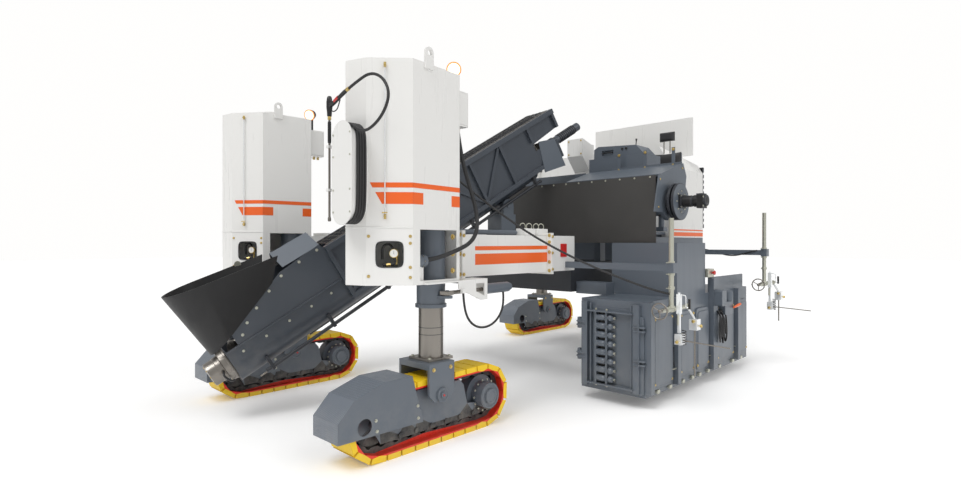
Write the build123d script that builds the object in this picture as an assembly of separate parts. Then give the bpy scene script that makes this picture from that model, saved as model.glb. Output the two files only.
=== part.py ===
from build123d import *
import math
import os

# Slipform paver on three crawlers: a machine that places concrete in an offset
# mould beside it. Millimetres, +X is the direction of travel, +Y the mould side
# and +Z up. The leg line of the two front crawlers lies LEG_LINE_X ahead of the
# part's origin and its middle LEG_LINE_Y beside it, and all places below are
# measured from that middle point on the ground.
LEG_LINE_X = 2327.2
LEG_LINE_Y = -554.2

GAP = 0.3            # seat clearance between pieces that touch but move
RUN_GAP = 7.0        # clearance round pieces that swing or slide past others

# Crawlers: a loop of shoes round an idler and a sprocket
SHOE_WIDTH = 300.0
SHOE_PAD = 45.0      # tread pad
SHOE_PLATE = 14.0    # steel plate under the pad
CHAIN_HEIGHT = 50.0
CHAIN_WIDTH = 150.0
SHOE_PITCH = 139.0
SHOE_SPLIT = 14.0    # gap between neighbouring pads
REAR_RADIUS = 288.0  # over the pads at the sprocket
FRONT_RADIUS = 275.0  # over the pads at the idler
SPROCKET_X = -552.0
IDLER_X = 655.0
ROLLER_RADIUS = 45.0
ROLLERS = 6
SIDE_PLATE = 20.0
DRUM_RADIUS = 120.0
DRUM_REACH = 190.0
GUARD_WIDTH = 345.0
GUARD_SHEET = 8.0
GUARD_TOP = 622.0
GUARD_REAR = 232.0

# Fork over the crawler and the lifting column on it
FORK_WIDTH = 400.0
FORK_PLATE = 25.0
FORK_FRONT = 190.0
FORK_REAR = -90.0
FORK_TOP = 690.0
FORK_BOTTOM = 370.0
PIN_HEIGHT = 445.0
PIN_X = 50.0
PIN_RADIUS = 27.0
BOSS_RADIUS = 62.0
COLUMN_RADIUS = 107.5
COLUMN_TOP = 2320.0
FOOT_SIZE = 270.0
FOOT_THICK = 22.0
KEY_WIDTH = 34.0
KEY_DEPTH = 14.0

# Turning collar that steers the column
COLLAR_GAP = 1.0
COLLAR_WALL = 16.0
COLLAR_BOTTOM = 1138.0
COLLAR_TOP = 1800.0
LEVER_REACH = 190.0
LEVER_WIDTH = 90.0
LEVER_PLATE = 22.0
LEVER_BOTTOM = 1222.0
STEER_PIN_RADIUS = 15.0
ROD_RADIUS = 18.0
ROD_LENGTH = 620.0
EYE_THICK = 32.0
BARREL_RADIUS = 48.0
BARREL_FRONT = -495.0
BARREL_REAR = -880.0
BRACKET_SHEET = 10.0

# Leg towers: tank over an open housing, (x, y) of the plan about the leg
TOWER_REAR = -150.0
TOWER_SIDE = 200.0
TOWER_PLAN = [(TOWER_REAR, TOWER_SIDE), (420, TOWER_SIDE), (660, -80), (700, -280),
              (420, -560), (TOWER_REAR, -560)]
TOWER_SHEET = 10.0
TOWER_FLOOR = 1376.0
TANK_BOTTOM = 1820.0
TANK_TOP = 3150.0
WINDOW_WIDTH = 215.0
WINDOW_HEIGHT = 205.0
WINDOW_CENTRE = 1602.0
RECESS_FRONT = 340.0
EYE_PLATE_WIDTH = 92.0
PUMP_PORT = (235.0, 140.0, 1545.0)

# Legs: name, place of the leg, turn of its tower about the column, and whether
# its tank is drained for the empty weight (the wash water of the left one)
LEGS = [
    ("left", 0.0, 1279.0, 6.0, True),
    ("right", -40.0, -1279.0, -4.0, False),
    ("rear", -5400.0, -1670.0, 180.0, False),
]

# Frame
BEAM_BOTTOM = 1370.0
BEAM_TOP = 1770.0
BEAM_WIDTH = 250.0
BEAM_SHEET = 15.0
LEFT_BEAM_OUT = 1200.0
RIGHT_BEAM_IN = -1130.0
CROSS_FRONT = -1900.0
CROSS_REAR = -2300.0
RAIL_BOTTOM = 1110.0
RAIL_TOP = 1450.0
RAIL_WIDTH = 220.0
FRAME_LEFT = 1150.0
FRAME_RIGHT = -1060.0
FRAME_REAR = -5880.0
TANK_WALL_Y = -700.0  # the oil tank fills the rear body to the right of this

# Engine hood with a raised lid
HOOD_FRONT = -4760.0
HOOD_REAR = -5900.0
HOOD_LEFT = 1250.0
HOOD_RIGHT = -1100.0
HOOD_BOTTOM = 1770.0
HOOD_SHEET = 15.0
HOOD_TOP_FRONT = 3150.0
HOOD_TOP_REAR = 2960.0
HOOD_SHOULDER_Z = 2820.0  # top of the upright left side, below its slanted panel
HOOD_SHOULDER_Y = 1050.0  # inner edge of the slanted panel at the hood's front
LID_HINGE_X = -5490.0
LID_LENGTH = 620.0
LID_RIGHT = -520.0
LID_THICK = 35.0
LID_LIFT = 32.0       # hinge axis above the hood
KNUCKLE_RADIUS = 12.0
COWL_DEPTH = 150.0    # rounded cooler cowl behind the hood
COWL_SHEET = 12.0
COWL_RIGHT = -1000.0
COWL_BOTTOM = 1930.0
COWL_TOP = 2920.0
COWL_SLAT = 90.0      # pitch of its slats
ENGINE_SIZE = (620.0, 900.0, 780.0)
ENGINE_X = -5330.0
ENGINE_Y = -450.0

# Platform behind the cross trough
DECK_TOP = 1850.0
DECK_FRONT = -3560.0
DECK_THICK = 40.0
CONSOLE_FRONT = -3500.0
CONSOLE_REAR = -3880.0
CONSOLE_RIGHT = 630.0
CONSOLE_FOOT = 1140.0   # left end of the part that stands on the deck
CONSOLE_LEFT = 1500.0
CONSOLE_SHELF = 2850.0
CONSOLE_PANEL = [(690, CONSOLE_SHELF), (690, 2985), (760, 3020), (1330, 2985), (1435, 2870), (1435, CONSOLE_SHELF)]
CABINET_RIGHT = 190.0
CABINET_LEFT = 450.0
CABINET_HEAD = [(-3600, 2945), (-3600, 3195), (-3840, 3130), (-3900, 3130), (-3900, 2740), (-3780, 2740)]
SEAT_X = -4200.0
SEAT_Y = 1360.0
SEAT_HEIGHT = 2280.0
SEAT_WIDTH = 420.0

# Cross trough with its auger
TROUGH_X = -3100.0
TROUGH_Z = 2170.0
TROUGH_RADIUS = 205.0
TROUGH_WALL = 8.0
TROUGH_RIM = 2470.0
TROUGH_RIGHT = -400.0
TROUGH_LEFT = 2010.0
AUGER_RADIUS = 185.0
AUGER_SHAFT = 45.0
AUGER_PITCH = 340.0
FLIGHT_THICK = 10.0
DISC_RADIUS = 215.0
DISC_Y = 2110.0
DISC_THICK = 28.0
COVER_RIGHT = 700.0     # the trough's sloping cover starts here
COVER_FRONT = -2850.0
COVER_REAR = -3400.0
COVER_FRONT_Z = 2485.0
COVER_REAR_Z = 2655.0
COVER_SHEET = 8.0
SPLASH_TOP = 2640.0
BAR_PLACES = (1150.0, 1525.0, 1900.0)
BAR_WIDTH = 44.0
BAR_TOP = 2870.0
END_PLATE = [(-3448, 2665), (-2799, 2462), (-2687, 2044), (-3448, 2055), (-3536, 2513)]
APRON_BOTTOM = 1690.0
APRON_X = -2800.0

# Mould hopper and mould
HOPPER_FRONT = -2720.0
HOPPER_REAR = -3490.0
MOULD_FRONT = -2000.0
MOULD_REAR = -4900.0
MOULD_IN = 1500.0
MOULD_OUT = 2260.0
MOULD_BOTTOM = 120.0
MOULD_TOP = 1090.0
MOULD_WALL = 14.0
HOPPER_TOP = 1690.0

# Feeding auger conveyor, in its own frame: x up the slope, y to the right
FEED_TAIL = (1155.0, -516.0, 565.0)
FEED_YAW = 12.5
FEED_RISE = 30.8
FEED_AXIS = -90.0        # auger axis, below the frame's datum line
FEED_RADIUS = 200.0
FEED_WALL = 8.0
FEED_RIM = 55.0
FEED_START = 120.0
FEED_END = 4880.0
TRUSS_START = 1400.0
TRUSS_CUT = 4380.0       # the lower chord ends here, ahead of the spout
TRUSS_BAYS = 7
HEAD_BOTTOM = 150.0      # underside of the truss over the spout
TRUSS_TOP = 380.0
TRUSS_BOTTOM = -170.0
SKIRT_SHEET = 6.0
FLAP_THICK = 14.0
FLAP_REACH = 330.0
SPOUT_DROP = 28.0
SPOUT_SHEET = 8.0
MOTOR_Z = -20.0
MOTOR_END = 5420.0
MOTOR_RADIUS = 57.0
PIVOT_X = 3700.0
PIVOT_Z = -330.0
PIVOT_PIN = 30.0

# Sensor booms, out to the left
BOOM_SIZE = 70.0
MAST_Y = 2460.0
MAST_RADIUS = 25.0
LANCE_RADIUS = 9.0
# x, boom height, boom start, mast bottom, mast top, wand drop
BOOMS = [
    (-2150.0, 1440.0, LEFT_BEAM_OUT, 1000.0, 1940.0, 300.0),
    (-5000.0, 1555.0, HOOD_LEFT, 1100.0, 2100.0, 590.0),
]

nodes = {}


# Small shapes
def block(x0, x1, y0, y1, z0, z1):
    """Box between two planes on each axis."""
    centre = Pos((x0 + x1) / 2, (y0 + y1) / 2, (z0 + z1) / 2)
    return centre * Box(abs(x1 - x0), abs(y1 - y0), abs(z1 - z0))


def rod(start, end, radius, inner=0.0):
    """Round bar or tube between two points."""
    start, end = Vector(*start), Vector(*end)
    plane = Plane(origin=start, z_dir=end - start)
    section = Circle(radius) - Circle(inner) if inner else Circle(radius)
    return extrude(plane * section, (end - start).length)


def prism_y(points, y0, y1):
    """Outline in x and z, pulled from y0 to y1."""
    face = make_face(Polyline(*[(x, y0, z) for x, z in points], close=True))
    return extrude(face, amount=y1 - y0, dir=(0, 1, 0))


def prism_x(points, x0, x1):
    """Outline in y and z, pulled from x0 to x1."""
    face = make_face(Polyline(*[(x0, y, z) for y, z in points], close=True))
    return extrude(face, amount=x1 - x0, dir=(1, 0, 0))


def strap(start, end, width, y0, y1):
    """Flat bar between two points in x and z, its thickness from y0 to y1."""
    (xa, za), (xb, zb) = start, end
    reach = math.hypot(xb - xa, zb - za)
    dx, dz = -(zb - za) / reach * width / 2, (xb - xa) / reach * width / 2
    return prism_y([(xa + dx, za + dz), (xb + dx, zb + dz), (xb - dx, zb - dz), (xa - dx, za - dz)], y0, y1)


def prism_z(points, z0, z1):
    """Outline in x and y, pulled from z0 to z1."""
    face = make_face(Polyline(*[(x, y, z0) for x, y in points], close=True))
    return extrude(face, amount=z1 - z0, dir=(0, 0, 1))


def hose(name, points, diameter):
    """Tube of a cord: straight runs joined by tangent arcs, as wide as the runs allow."""
    route = [Vector(*p) for p in points]
    radii = []
    for before, at, after in zip(route, route[1:], route[2:]):
        turn = math.radians((at - before).get_angle(after - at))
        radii.append(0.45 * min((at - before).length, (after - at).length) / math.tan(turn / 2))
    path = FilletPolyline(*route, radius=radii)
    tube = sweep(Plane(origin=route[0], z_dir=route[1] - route[0]) * Circle(diameter / 2), path=path)
    share = tube.volume / (math.pi * diameter ** 2 / 4 * path.length)
    print(name, "length", round(path.length), "radii", [round(r) for r in radii], "volume share", round(share, 4))
    return tube


# Crawler parts, about the leg with its foot at z = 0
def loop_path(depth):
    """Centre, radius and length data of the loop, `depth` inside the pads."""
    rear, front = REAR_RADIUS - depth, FRONT_RADIUS - depth
    dx, dz = IDLER_X - SPROCKET_X, FRONT_RADIUS - REAR_RADIUS
    span = math.hypot(dx, dz)
    lean = math.atan2(dz, dx)
    wrap = math.asin((front - rear) / span)
    return rear, front, span, lean, wrap


def loop_point(share, depth):
    """Point and outward direction at a share of the way round the chain line."""
    rear, front, span, lean, wrap = loop_path(SHOE_PAD + SHOE_PLATE)
    straight = math.sqrt(span ** 2 - (front - rear) ** 2)
    front_arc = front * (math.pi + 2 * wrap)
    rear_arc = rear * (math.pi - 2 * wrap)
    total = 2 * straight + front_arc + rear_arc
    way = (share % 1.0) * total
    top = lean + math.pi / 2 + wrap
    bottom = lean - math.pi / 2 - wrap
    rear_at = (SPROCKET_X, REAR_RADIUS)
    front_at = (IDLER_X, FRONT_RADIUS)
    if way < straight:
        angle, part = bottom, way / straight
        cx = rear_at[0] + (front_at[0] - rear_at[0]) * part
        cz = rear_at[1] + (front_at[1] - rear_at[1]) * part
        radius = rear + (front - rear) * part
    elif way < straight + front_arc:
        angle = bottom + (way - straight) / front
        cx, cz, radius = *front_at, front
    elif way < 2 * straight + front_arc:
        part = (way - straight - front_arc) / straight
        angle = top
        cx = front_at[0] + (rear_at[0] - front_at[0]) * part
        cz = front_at[1] + (rear_at[1] - front_at[1]) * part
        radius = front + (rear - front) * part
    else:
        angle = top + (way - 2 * straight - front_arc) / rear
        cx, cz, radius = *rear_at, rear
    reach = radius + SHOE_PAD + SHOE_PLATE - depth
    return (cx + reach * math.cos(angle), cz + reach * math.sin(angle)), total


def shoe_count():
    """Whole number of shoes that the loop takes."""
    return round(loop_point(0.0, 0.0)[1] / SHOE_PITCH)


def make_belt():
    """Loop of shoes: pads with gaps over a closed band of plates, and the chain."""
    count = shoe_count()
    half_split = SHOE_SPLIT / SHOE_PITCH / 2
    outer, inner = [], []
    for shoe in range(count):
        for share, depth in ((half_split, SHOE_PAD), (half_split, 0.0),
                             (1 - half_split, 0.0), (1 - half_split, SHOE_PAD)):
            outer.append(loop_point((shoe + share) / count, depth)[0])
        inner.append(loop_point((shoe + 0.5) / count, SHOE_PAD + SHOE_PLATE)[0])
    half = SHOE_WIDTH / 2
    band = prism_y(outer, -half, half) - prism_y(inner, -half - 1, half + 1)
    link_out, link_in = [], []
    for shoe in range(count):
        link_out.append(loop_point((shoe + 0.5) / count, SHOE_PAD + SHOE_PLATE)[0])
        for share, depth in ((0.1, 34.0), (0.25, CHAIN_HEIGHT), (0.75, CHAIN_HEIGHT), (0.9, 34.0)):
            link_in.append(loop_point((shoe + share) / count, SHOE_PAD + SHOE_PLATE + depth)[0])
    half = CHAIN_WIDTH / 2
    chain = prism_y(link_out, -half, half) - prism_y(link_in, -half - 1, half + 1)
    return band + chain


def make_track_frame():
    """Side plates, beam, rollers, idler, sprocket and the drive drums."""
    inside = SHOE_PAD + SHOE_PLATE + CHAIN_HEIGHT
    plate_in = CHAIN_WIDTH / 2 + 20
    plate_out = plate_in + SIDE_PLATE
    roller_z = inside + GAP + ROLLER_RADIUS
    flat = math.cos(SHOE_PITCH / 4 / (REAR_RADIUS - SHOE_PAD - SHOE_PLATE))
    idler_radius = (FRONT_RADIUS - inside) * flat - 2 * GAP
    sprocket_radius = (REAR_RADIUS - inside) * flat - 2 * GAP
    rail_low, rail_high = inside + 20, roller_z + ROLLER_RADIUS + 35
    outline = [(SPROCKET_X + 60, rail_low), (IDLER_X - 40, rail_low), (IDLER_X + 30, FRONT_RADIUS - 30),
               (IDLER_X + 30, FRONT_RADIUS + 30), (IDLER_X - 60, FRONT_RADIUS + 30), (300, rail_high + 60),
               (255, 480), (-240, 480), (-285, 430), (-330, rail_high + 20), (SPROCKET_X + 60, rail_high)]
    body = prism_y(outline, -plate_out, plate_out) - prism_y(outline, -plate_in, plate_in)
    body += block(-300, 330, -plate_in, plate_in, rail_high, 395)
    for number in range(ROLLERS):
        x = SPROCKET_X + 150 + number * (IDLER_X - SPROCKET_X - 380) / (ROLLERS - 1)
        body += rod((x, -plate_in, roller_z), (x, plate_in, roller_z), ROLLER_RADIUS)
        body += rod((x, -plate_out - 12, roller_z), (x, plate_out + 12, roller_z), 22)
    body += rod((IDLER_X, -50, FRONT_RADIUS), (IDLER_X, 50, FRONT_RADIUS), idler_radius)
    body += rod((IDLER_X, -plate_out - 8, FRONT_RADIUS), (IDLER_X, plate_out + 8, FRONT_RADIUS), 32)
    body += rod((SPROCKET_X, -60, REAR_RADIUS), (SPROCKET_X, 60, REAR_RADIUS), sprocket_radius)
    body += rod((SPROCKET_X, -120, REAR_RADIUS), (SPROCKET_X, DRUM_REACH, REAR_RADIUS), DRUM_RADIUS)
    body += rod((SPROCKET_X, DRUM_REACH, REAR_RADIUS), (SPROCKET_X, DRUM_REACH + 14, REAR_RADIUS), 70)
    for side in (-1, 1):
        arm = block(GUARD_REAR + 8, GUARD_REAR + 128, side * plate_out, side * (GUARD_WIDTH / 2 - GUARD_SHEET),
                    255, 335)
        body += arm
        boss = rod((PIN_X, side * plate_out, PIN_HEIGHT - 25), (PIN_X, side * (plate_out + 8), PIN_HEIGHT - 25), 50)
        body += boss
    return body - rod((PIN_X, -SHOE_WIDTH, PIN_HEIGHT - 25), (PIN_X, SHOE_WIDTH, PIN_HEIGHT - 25),
                      PIN_RADIUS + GAP)


def make_guard():
    """Sheet cover over the front of the crawler, open below and behind."""
    outer = [(GUARD_REAR, 230), (1030, 237), (1030, 388), (895, 533), (620, GUARD_TOP), (345, GUARD_TOP)]
    inner = [(GUARD_REAR - 40, 100), (1030 - GUARD_SHEET, 100), (1030 - GUARD_SHEET, 384), (892, 523),
             (617, GUARD_TOP - GUARD_SHEET), (300, GUARD_TOP - GUARD_SHEET)]
    half = GUARD_WIDTH / 2
    shell = prism_y(outer, -half, half) - prism_y(inner, -half + GUARD_SHEET, half - GUARD_SHEET)
    hole = Plane(origin=(800, -half - 1, 316), z_dir=(0, 1, 0)) * Circle(64)
    return shell - extrude(hole, 2 * half + 2)


def make_fork():
    """Inverted U over the crawler, with stub pins into the track frame."""
    half = FORK_WIDTH / 2
    body = block(FORK_REAR, FORK_FRONT, -half, half, FORK_TOP - 50, FORK_TOP)
    cheek = [(FORK_REAR, FORK_BOTTOM + 60), (FORK_REAR + 60, FORK_BOTTOM), (FORK_FRONT - 60, FORK_BOTTOM),
             (FORK_FRONT, FORK_BOTTOM + 60), (FORK_FRONT, FORK_TOP), (FORK_REAR, FORK_TOP)]
    pin_z = PIN_HEIGHT - 25
    plate_out = CHAIN_WIDTH / 2 + 20 + SIDE_PLATE
    for side in (-1, 1):
        body += prism_y(cheek, side * (half - FORK_PLATE), side * half)
        body += rod((PIN_X, side * (half - FORK_PLATE), pin_z), (PIN_X, side * (half + 14), pin_z), BOSS_RADIUS)
        body += rod((PIN_X, side * (plate_out - SIDE_PLATE + 1), pin_z), (PIN_X, side * (half + 26), pin_z),
                    PIN_RADIUS)
    return body


def make_column(turn):
    """Bare lifting column with a key groove down its back, on a square foot."""
    foot = block(-FOOT_SIZE / 2, FOOT_SIZE / 2, -FOOT_SIZE / 2, FOOT_SIZE / 2, FORK_TOP, FORK_TOP + FOOT_THICK)
    body = rod((0, 0, FORK_TOP), (0, 0, COLUMN_TOP), COLUMN_RADIUS)
    groove = block(-COLUMN_RADIUS - 5, -COLUMN_RADIUS + KEY_DEPTH, -KEY_WIDTH / 2, KEY_WIDTH / 2,
                   FORK_TOP + FOOT_THICK + 6, COLUMN_TOP + 5)
    return body - Rot(0, 0, turn) * groove + foot


def make_collar():
    """Turning sleeve round the column with its key, flange and steering lever."""
    bore = COLUMN_RADIUS + COLLAR_GAP
    outer = bore + COLLAR_WALL
    body = rod((0, 0, COLLAR_BOTTOM), (0, 0, COLLAR_TOP), outer, bore)
    body += rod((0, 0, COLLAR_BOTTOM), (0, 0, COLLAR_BOTTOM + 30), outer + 12, bore)
    key = block(-bore - 4, -COLUMN_RADIUS + KEY_DEPTH - 2, -KEY_WIDTH / 2 + 2, KEY_WIDTH / 2 - 2,
                COLLAR_BOTTOM, COLLAR_BOTTOM + 150)
    lever = block(-LEVER_WIDTH / 2, LEVER_WIDTH / 2, 0, LEVER_REACH, LEVER_BOTTOM, LEVER_BOTTOM + LEVER_PLATE)
    lever += rod((0, LEVER_REACH, LEVER_BOTTOM), (0, LEVER_REACH, LEVER_BOTTOM + LEVER_PLATE), LEVER_WIDTH / 2)
    lever -= rod((0, 0, LEVER_BOTTOM - 1), (0, 0, LEVER_BOTTOM + LEVER_PLATE + 1), bore)
    pin = rod((0, LEVER_REACH, LEVER_BOTTOM), (0, LEVER_REACH, rod_height() + EYE_THICK / 2 + 8),
              STEER_PIN_RADIUS)
    return body + lever + pin + key


def rod_height():
    """Height of the steering rod above the ground, clear over its lever."""
    return LEVER_BOTTOM + LEVER_PLATE + RUN_GAP + EYE_THICK / 2


def make_steer_rod():
    """Rod whose cross slot leaves the lever pin room to swing."""
    swing = LEVER_REACH * (1 - math.cos(math.radians(25)))
    z = rod_height()
    slot_half = STEER_PIN_RADIUS + RUN_GAP
    out, deep = LEVER_REACH + slot_half + 14, LEVER_REACH - swing - slot_half - 14
    head = block(-slot_half - 16, slot_half + 16, deep, out, z - EYE_THICK / 2, z + EYE_THICK / 2)
    head -= block(-slot_half, slot_half, deep + 14, out - 14, z - EYE_THICK, z + EYE_THICK)
    return head + rod((-slot_half - 10, LEVER_REACH, z), (-ROD_LENGTH, LEVER_REACH, z), ROD_RADIUS)


def make_steer_barrel():
    """Steering cylinder's barrel with a cap at each end."""
    z = rod_height()
    bore = ROD_RADIUS + 1
    body = rod((BARREL_FRONT, LEVER_REACH, z), (BARREL_REAR, LEVER_REACH, z), BARREL_RADIUS)
    body += rod((BARREL_REAR, LEVER_REACH, z), (BARREL_REAR - 40, LEVER_REACH, z), BARREL_RADIUS - 14)
    return body - rod((BARREL_FRONT + 1, LEVER_REACH, z), (BARREL_REAR + 120, LEVER_REACH, z), bore)


def inset(points, sheet):
    """Plan drawn in by a sheet's thickness, towards its middle."""
    face = make_face(Polyline(*[(x, y, 0) for x, y in points], close=True))
    return offset(face, -sheet, kind=Kind.INTERSECTION)


def make_tower(drained):
    """Tank over an open housing, with the steering bracket under it."""
    collar_out = COLUMN_RADIUS + COLLAR_GAP + COLLAR_WALL
    tower = prism_z(TOWER_PLAN, TOWER_FLOOR - 20, TANK_TOP)
    room = extrude(Pos(0, 0, TOWER_FLOOR) * inset(TOWER_PLAN, TOWER_SHEET), TANK_BOTTOM - 8 - TOWER_FLOOR)
    tower -= room
    tower -= rod((0, 0, TOWER_FLOOR - 30), (0, 0, TANK_BOTTOM + 5), collar_out + GAP)
    if drained:
        water = extrude(Pos(0, 0, TANK_BOTTOM + 10) * inset(TOWER_PLAN, TOWER_SHEET), TANK_TOP - TANK_BOTTOM - 20)
        tower -= water - rod((0, 0, TANK_BOTTOM), (0, 0, TANK_TOP), COLUMN_RADIUS + 5 + TOWER_SHEET)
    tower -= rod((0, 0, TANK_BOTTOM), (0, 0, TANK_TOP - 60), COLUMN_RADIUS + 5)
    tower -= block(TOWER_REAR + 40, RECESS_FRONT, TOWER_SIDE - 20, TOWER_SIDE + 5, TOWER_FLOOR + 12, TANK_BOTTOM - 20)
    # window in the slanted face
    (x0, y0), (x1, y1) = TOWER_PLAN[1], TOWER_PLAN[2]
    face = Plane(origin=((x0 + x1) / 2, (y0 + y1) / 2, WINDOW_CENTRE), x_dir=(x1 - x0, y1 - y0, 0),
                 z_dir=(y0 - y1, x1 - x0, 0))
    window = extrude(face * RectangleRounded(WINDOW_WIDTH, WINDOW_HEIGHT, 35), 40, both=True)
    tower -= window
    # wash pump on its bracket inside the recess
    tower += block(260, 320, 110, 160, TOWER_FLOOR - 5, 1500)
    tower += rod((PUMP_PORT[0], PUMP_PORT[1], PUMP_PORT[2]), (PUMP_PORT[0] + 105, PUMP_PORT[1], PUMP_PORT[2]), 50)
    # filler neck, lifting eye
    tower += rod((230, -60, TANK_TOP), (230, -60, TANK_TOP + 40), 72)
    if drained:
        tower -= rod((230, -60, TANK_TOP - 15), (230, -60, TANK_TOP + 45), 62)
    eye = block(250 - EYE_PLATE_WIDTH / 2, 250 + EYE_PLATE_WIDTH / 2, TOWER_SIDE, TOWER_SIDE + 22,
                TANK_TOP - 50, TANK_TOP + 85)
    eye += rod((250, TOWER_SIDE, TANK_TOP + 85), (250, TOWER_SIDE + 22, TANK_TOP + 85), EYE_PLATE_WIDTH / 2)
    eye -= rod((250, TOWER_SIDE - 1, TANK_TOP + 85), (250, TOWER_SIDE + 23, TANK_TOP + 85), 24)
    tower += eye
    # control box behind the tank
    tower += block(TOWER_REAR - 190, TOWER_REAR, TOWER_SIDE - 300, TOWER_SIDE - 60, 2730, 3040)
    # steering bracket: top plate, cheek with its opening, end plate
    cheek_in = LEVER_REACH + STEER_PIN_RADIUS + RUN_GAP + 14 + 6
    top = block(BARREL_FRONT, 300, 60, cheek_in + BRACKET_SHEET, TOWER_FLOOR - 20, BEAM_BOTTOM)
    top -= rod((0, 0, TOWER_FLOOR - 30), (0, 0, TOWER_FLOOR + 30), collar_out + GAP)
    cheek = prism_y([(BARREL_FRONT, TOWER_FLOOR - 20), (BARREL_FRONT, 1180), (-400, 1180), (-90, 1300),
                     (-90, TOWER_FLOOR - 20)], cheek_in, cheek_in + BRACKET_SHEET)
    cheek -= prism_y([(-450, TOWER_FLOOR - 45), (-450, 1215), (-330, 1262), (-330, TOWER_FLOOR - 45)],
                     cheek_in - 5, cheek_in + 20)
    end = block(BARREL_FRONT, BARREL_FRONT + 20, 120, cheek_in + BRACKET_SHEET, 1180, BEAM_BOTTOM)
    end -= rod((BARREL_FRONT - 5, LEVER_REACH, rod_height()), (BARREL_FRONT + 25, LEVER_REACH, rod_height()),
               ROD_RADIUS + 3)
    return tower + top + cheek + end


# Auger: a shaft with helical flights made of short flat wedges
def make_auger(length, radius, shaft, pitch, steps=10):
    """Auger along +X from the origin; ten flat wedges a turn."""
    count = int(length / pitch * steps)
    faces = []

    def corner(index, reach, side):
        angle = 2 * math.pi * index / steps
        x = index * pitch / steps + side * FLIGHT_THICK / 2
        return Vector(x, reach * math.cos(angle), reach * math.sin(angle))

    def facet(a, b, c):
        faces.append(Face(Wire(Polyline(a, b, c, close=True).edges())))

    root = shaft - 6
    for i in range(count):
        for side in (-1, 1):
            a, b = corner(i, root, side), corner(i, radius, side)
            c, d = corner(i + 1, radius, side), corner(i + 1, root, side)
            facet(a, b, c)
            facet(a, c, d)
        for reach in (root, radius):
            a, b = corner(i, reach, -1), corner(i, reach, 1)
            c, d = corner(i + 1, reach, 1), corner(i + 1, reach, -1)
            facet(a, b, c)
            facet(a, c, d)
    for i in (0, count):
        a, b = corner(i, root, -1), corner(i, root, 1)
        c, d = corner(i, radius, 1), corner(i, radius, -1)
        facet(a, b, c)
        facet(a, c, d)
    flight = Solid(Shell(faces))
    if flight.volume < 0:
        flight = Solid(flight.wrapped.Reversed())
    return flight


# The legs
barrels = []
towers = {}
for name, leg_x, leg_y, turn, drained in LEGS:
    place = Pos(leg_x, leg_y, 0)
    turned = place * Rot(0, 0, turn)
    nodes["track_belt_" + name] = place * make_belt()
    nodes["track_frame_" + name] = place * make_track_frame()
    nodes["track_guard_" + name] = place * make_guard()
    nodes["leg_fork_" + name] = place * make_fork()
    nodes["leg_column_" + name] = place * make_column(turn)
    nodes["steer_collar_" + name] = turned * make_collar()
    nodes["steer_rod_" + name] = turned * make_steer_rod()
    towers[name] = turned * make_tower(drained)
    nodes["leg_tower_" + name] = towers[name]
    barrels.append(turned * make_steer_barrel())
nodes["steer_cylinders"] = Compound(children=barrels)


# The frame
def solid_plan(name):
    """Outside of a leg tower as one plain prism, to fit beams against it."""
    for leg, leg_x, leg_y, turn, drained in LEGS:
        if leg == name:
            prism = prism_z(TOWER_PLAN, TOWER_FLOOR - 20, TANK_TOP)
            return Pos(leg_x, leg_y, 0) * Rot(0, 0, turn) * prism


left_beam = block(CROSS_REAR, TOWER_REAR + 60, LEFT_BEAM_OUT - BEAM_WIDTH, LEFT_BEAM_OUT, BEAM_BOTTOM, BEAM_TOP)
right_beam = block(CROSS_REAR, TOWER_REAR + 60, RIGHT_BEAM_IN - BEAM_WIDTH, RIGHT_BEAM_IN, BEAM_BOTTOM, BEAM_TOP)
cross_beam = block(CROSS_REAR, CROSS_FRONT, RIGHT_BEAM_IN - BEAM_WIDTH, LEFT_BEAM_OUT, BEAM_BOTTOM, BEAM_TOP)
flanges = block(-440, -400, LEFT_BEAM_OUT - BEAM_WIDTH - 40, LEFT_BEAM_OUT + 60, 1346, 1810)
flanges += block(-1810, -1770, LEFT_BEAM_OUT - BEAM_WIDTH - 40, LEFT_BEAM_OUT + 60, 1346, 1800)
flanges += block(-440, -400, RIGHT_BEAM_IN - BEAM_WIDTH - 40, RIGHT_BEAM_IN + 40, BEAM_BOTTOM, 1810)
front_frame = left_beam + right_beam + cross_beam + flanges
for out_y in (LEFT_BEAM_OUT, RIGHT_BEAM_IN):
    front_frame -= block(CROSS_REAR + BEAM_SHEET, TOWER_REAR + 70, out_y - BEAM_WIDTH + BEAM_SHEET,
                         out_y - BEAM_SHEET, BEAM_BOTTOM + BEAM_SHEET, BEAM_TOP - BEAM_SHEET)
front_frame -= block(CROSS_REAR + BEAM_SHEET, CROSS_FRONT - BEAM_SHEET, RIGHT_BEAM_IN - BEAM_SHEET,
                     LEFT_BEAM_OUT - BEAM_SHEET, BEAM_BOTTOM + BEAM_SHEET, BEAM_TOP - BEAM_SHEET)
for name in ("left", "right"):
    front_frame -= solid_plan(name)
nodes["front_frame"] = front_frame

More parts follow.
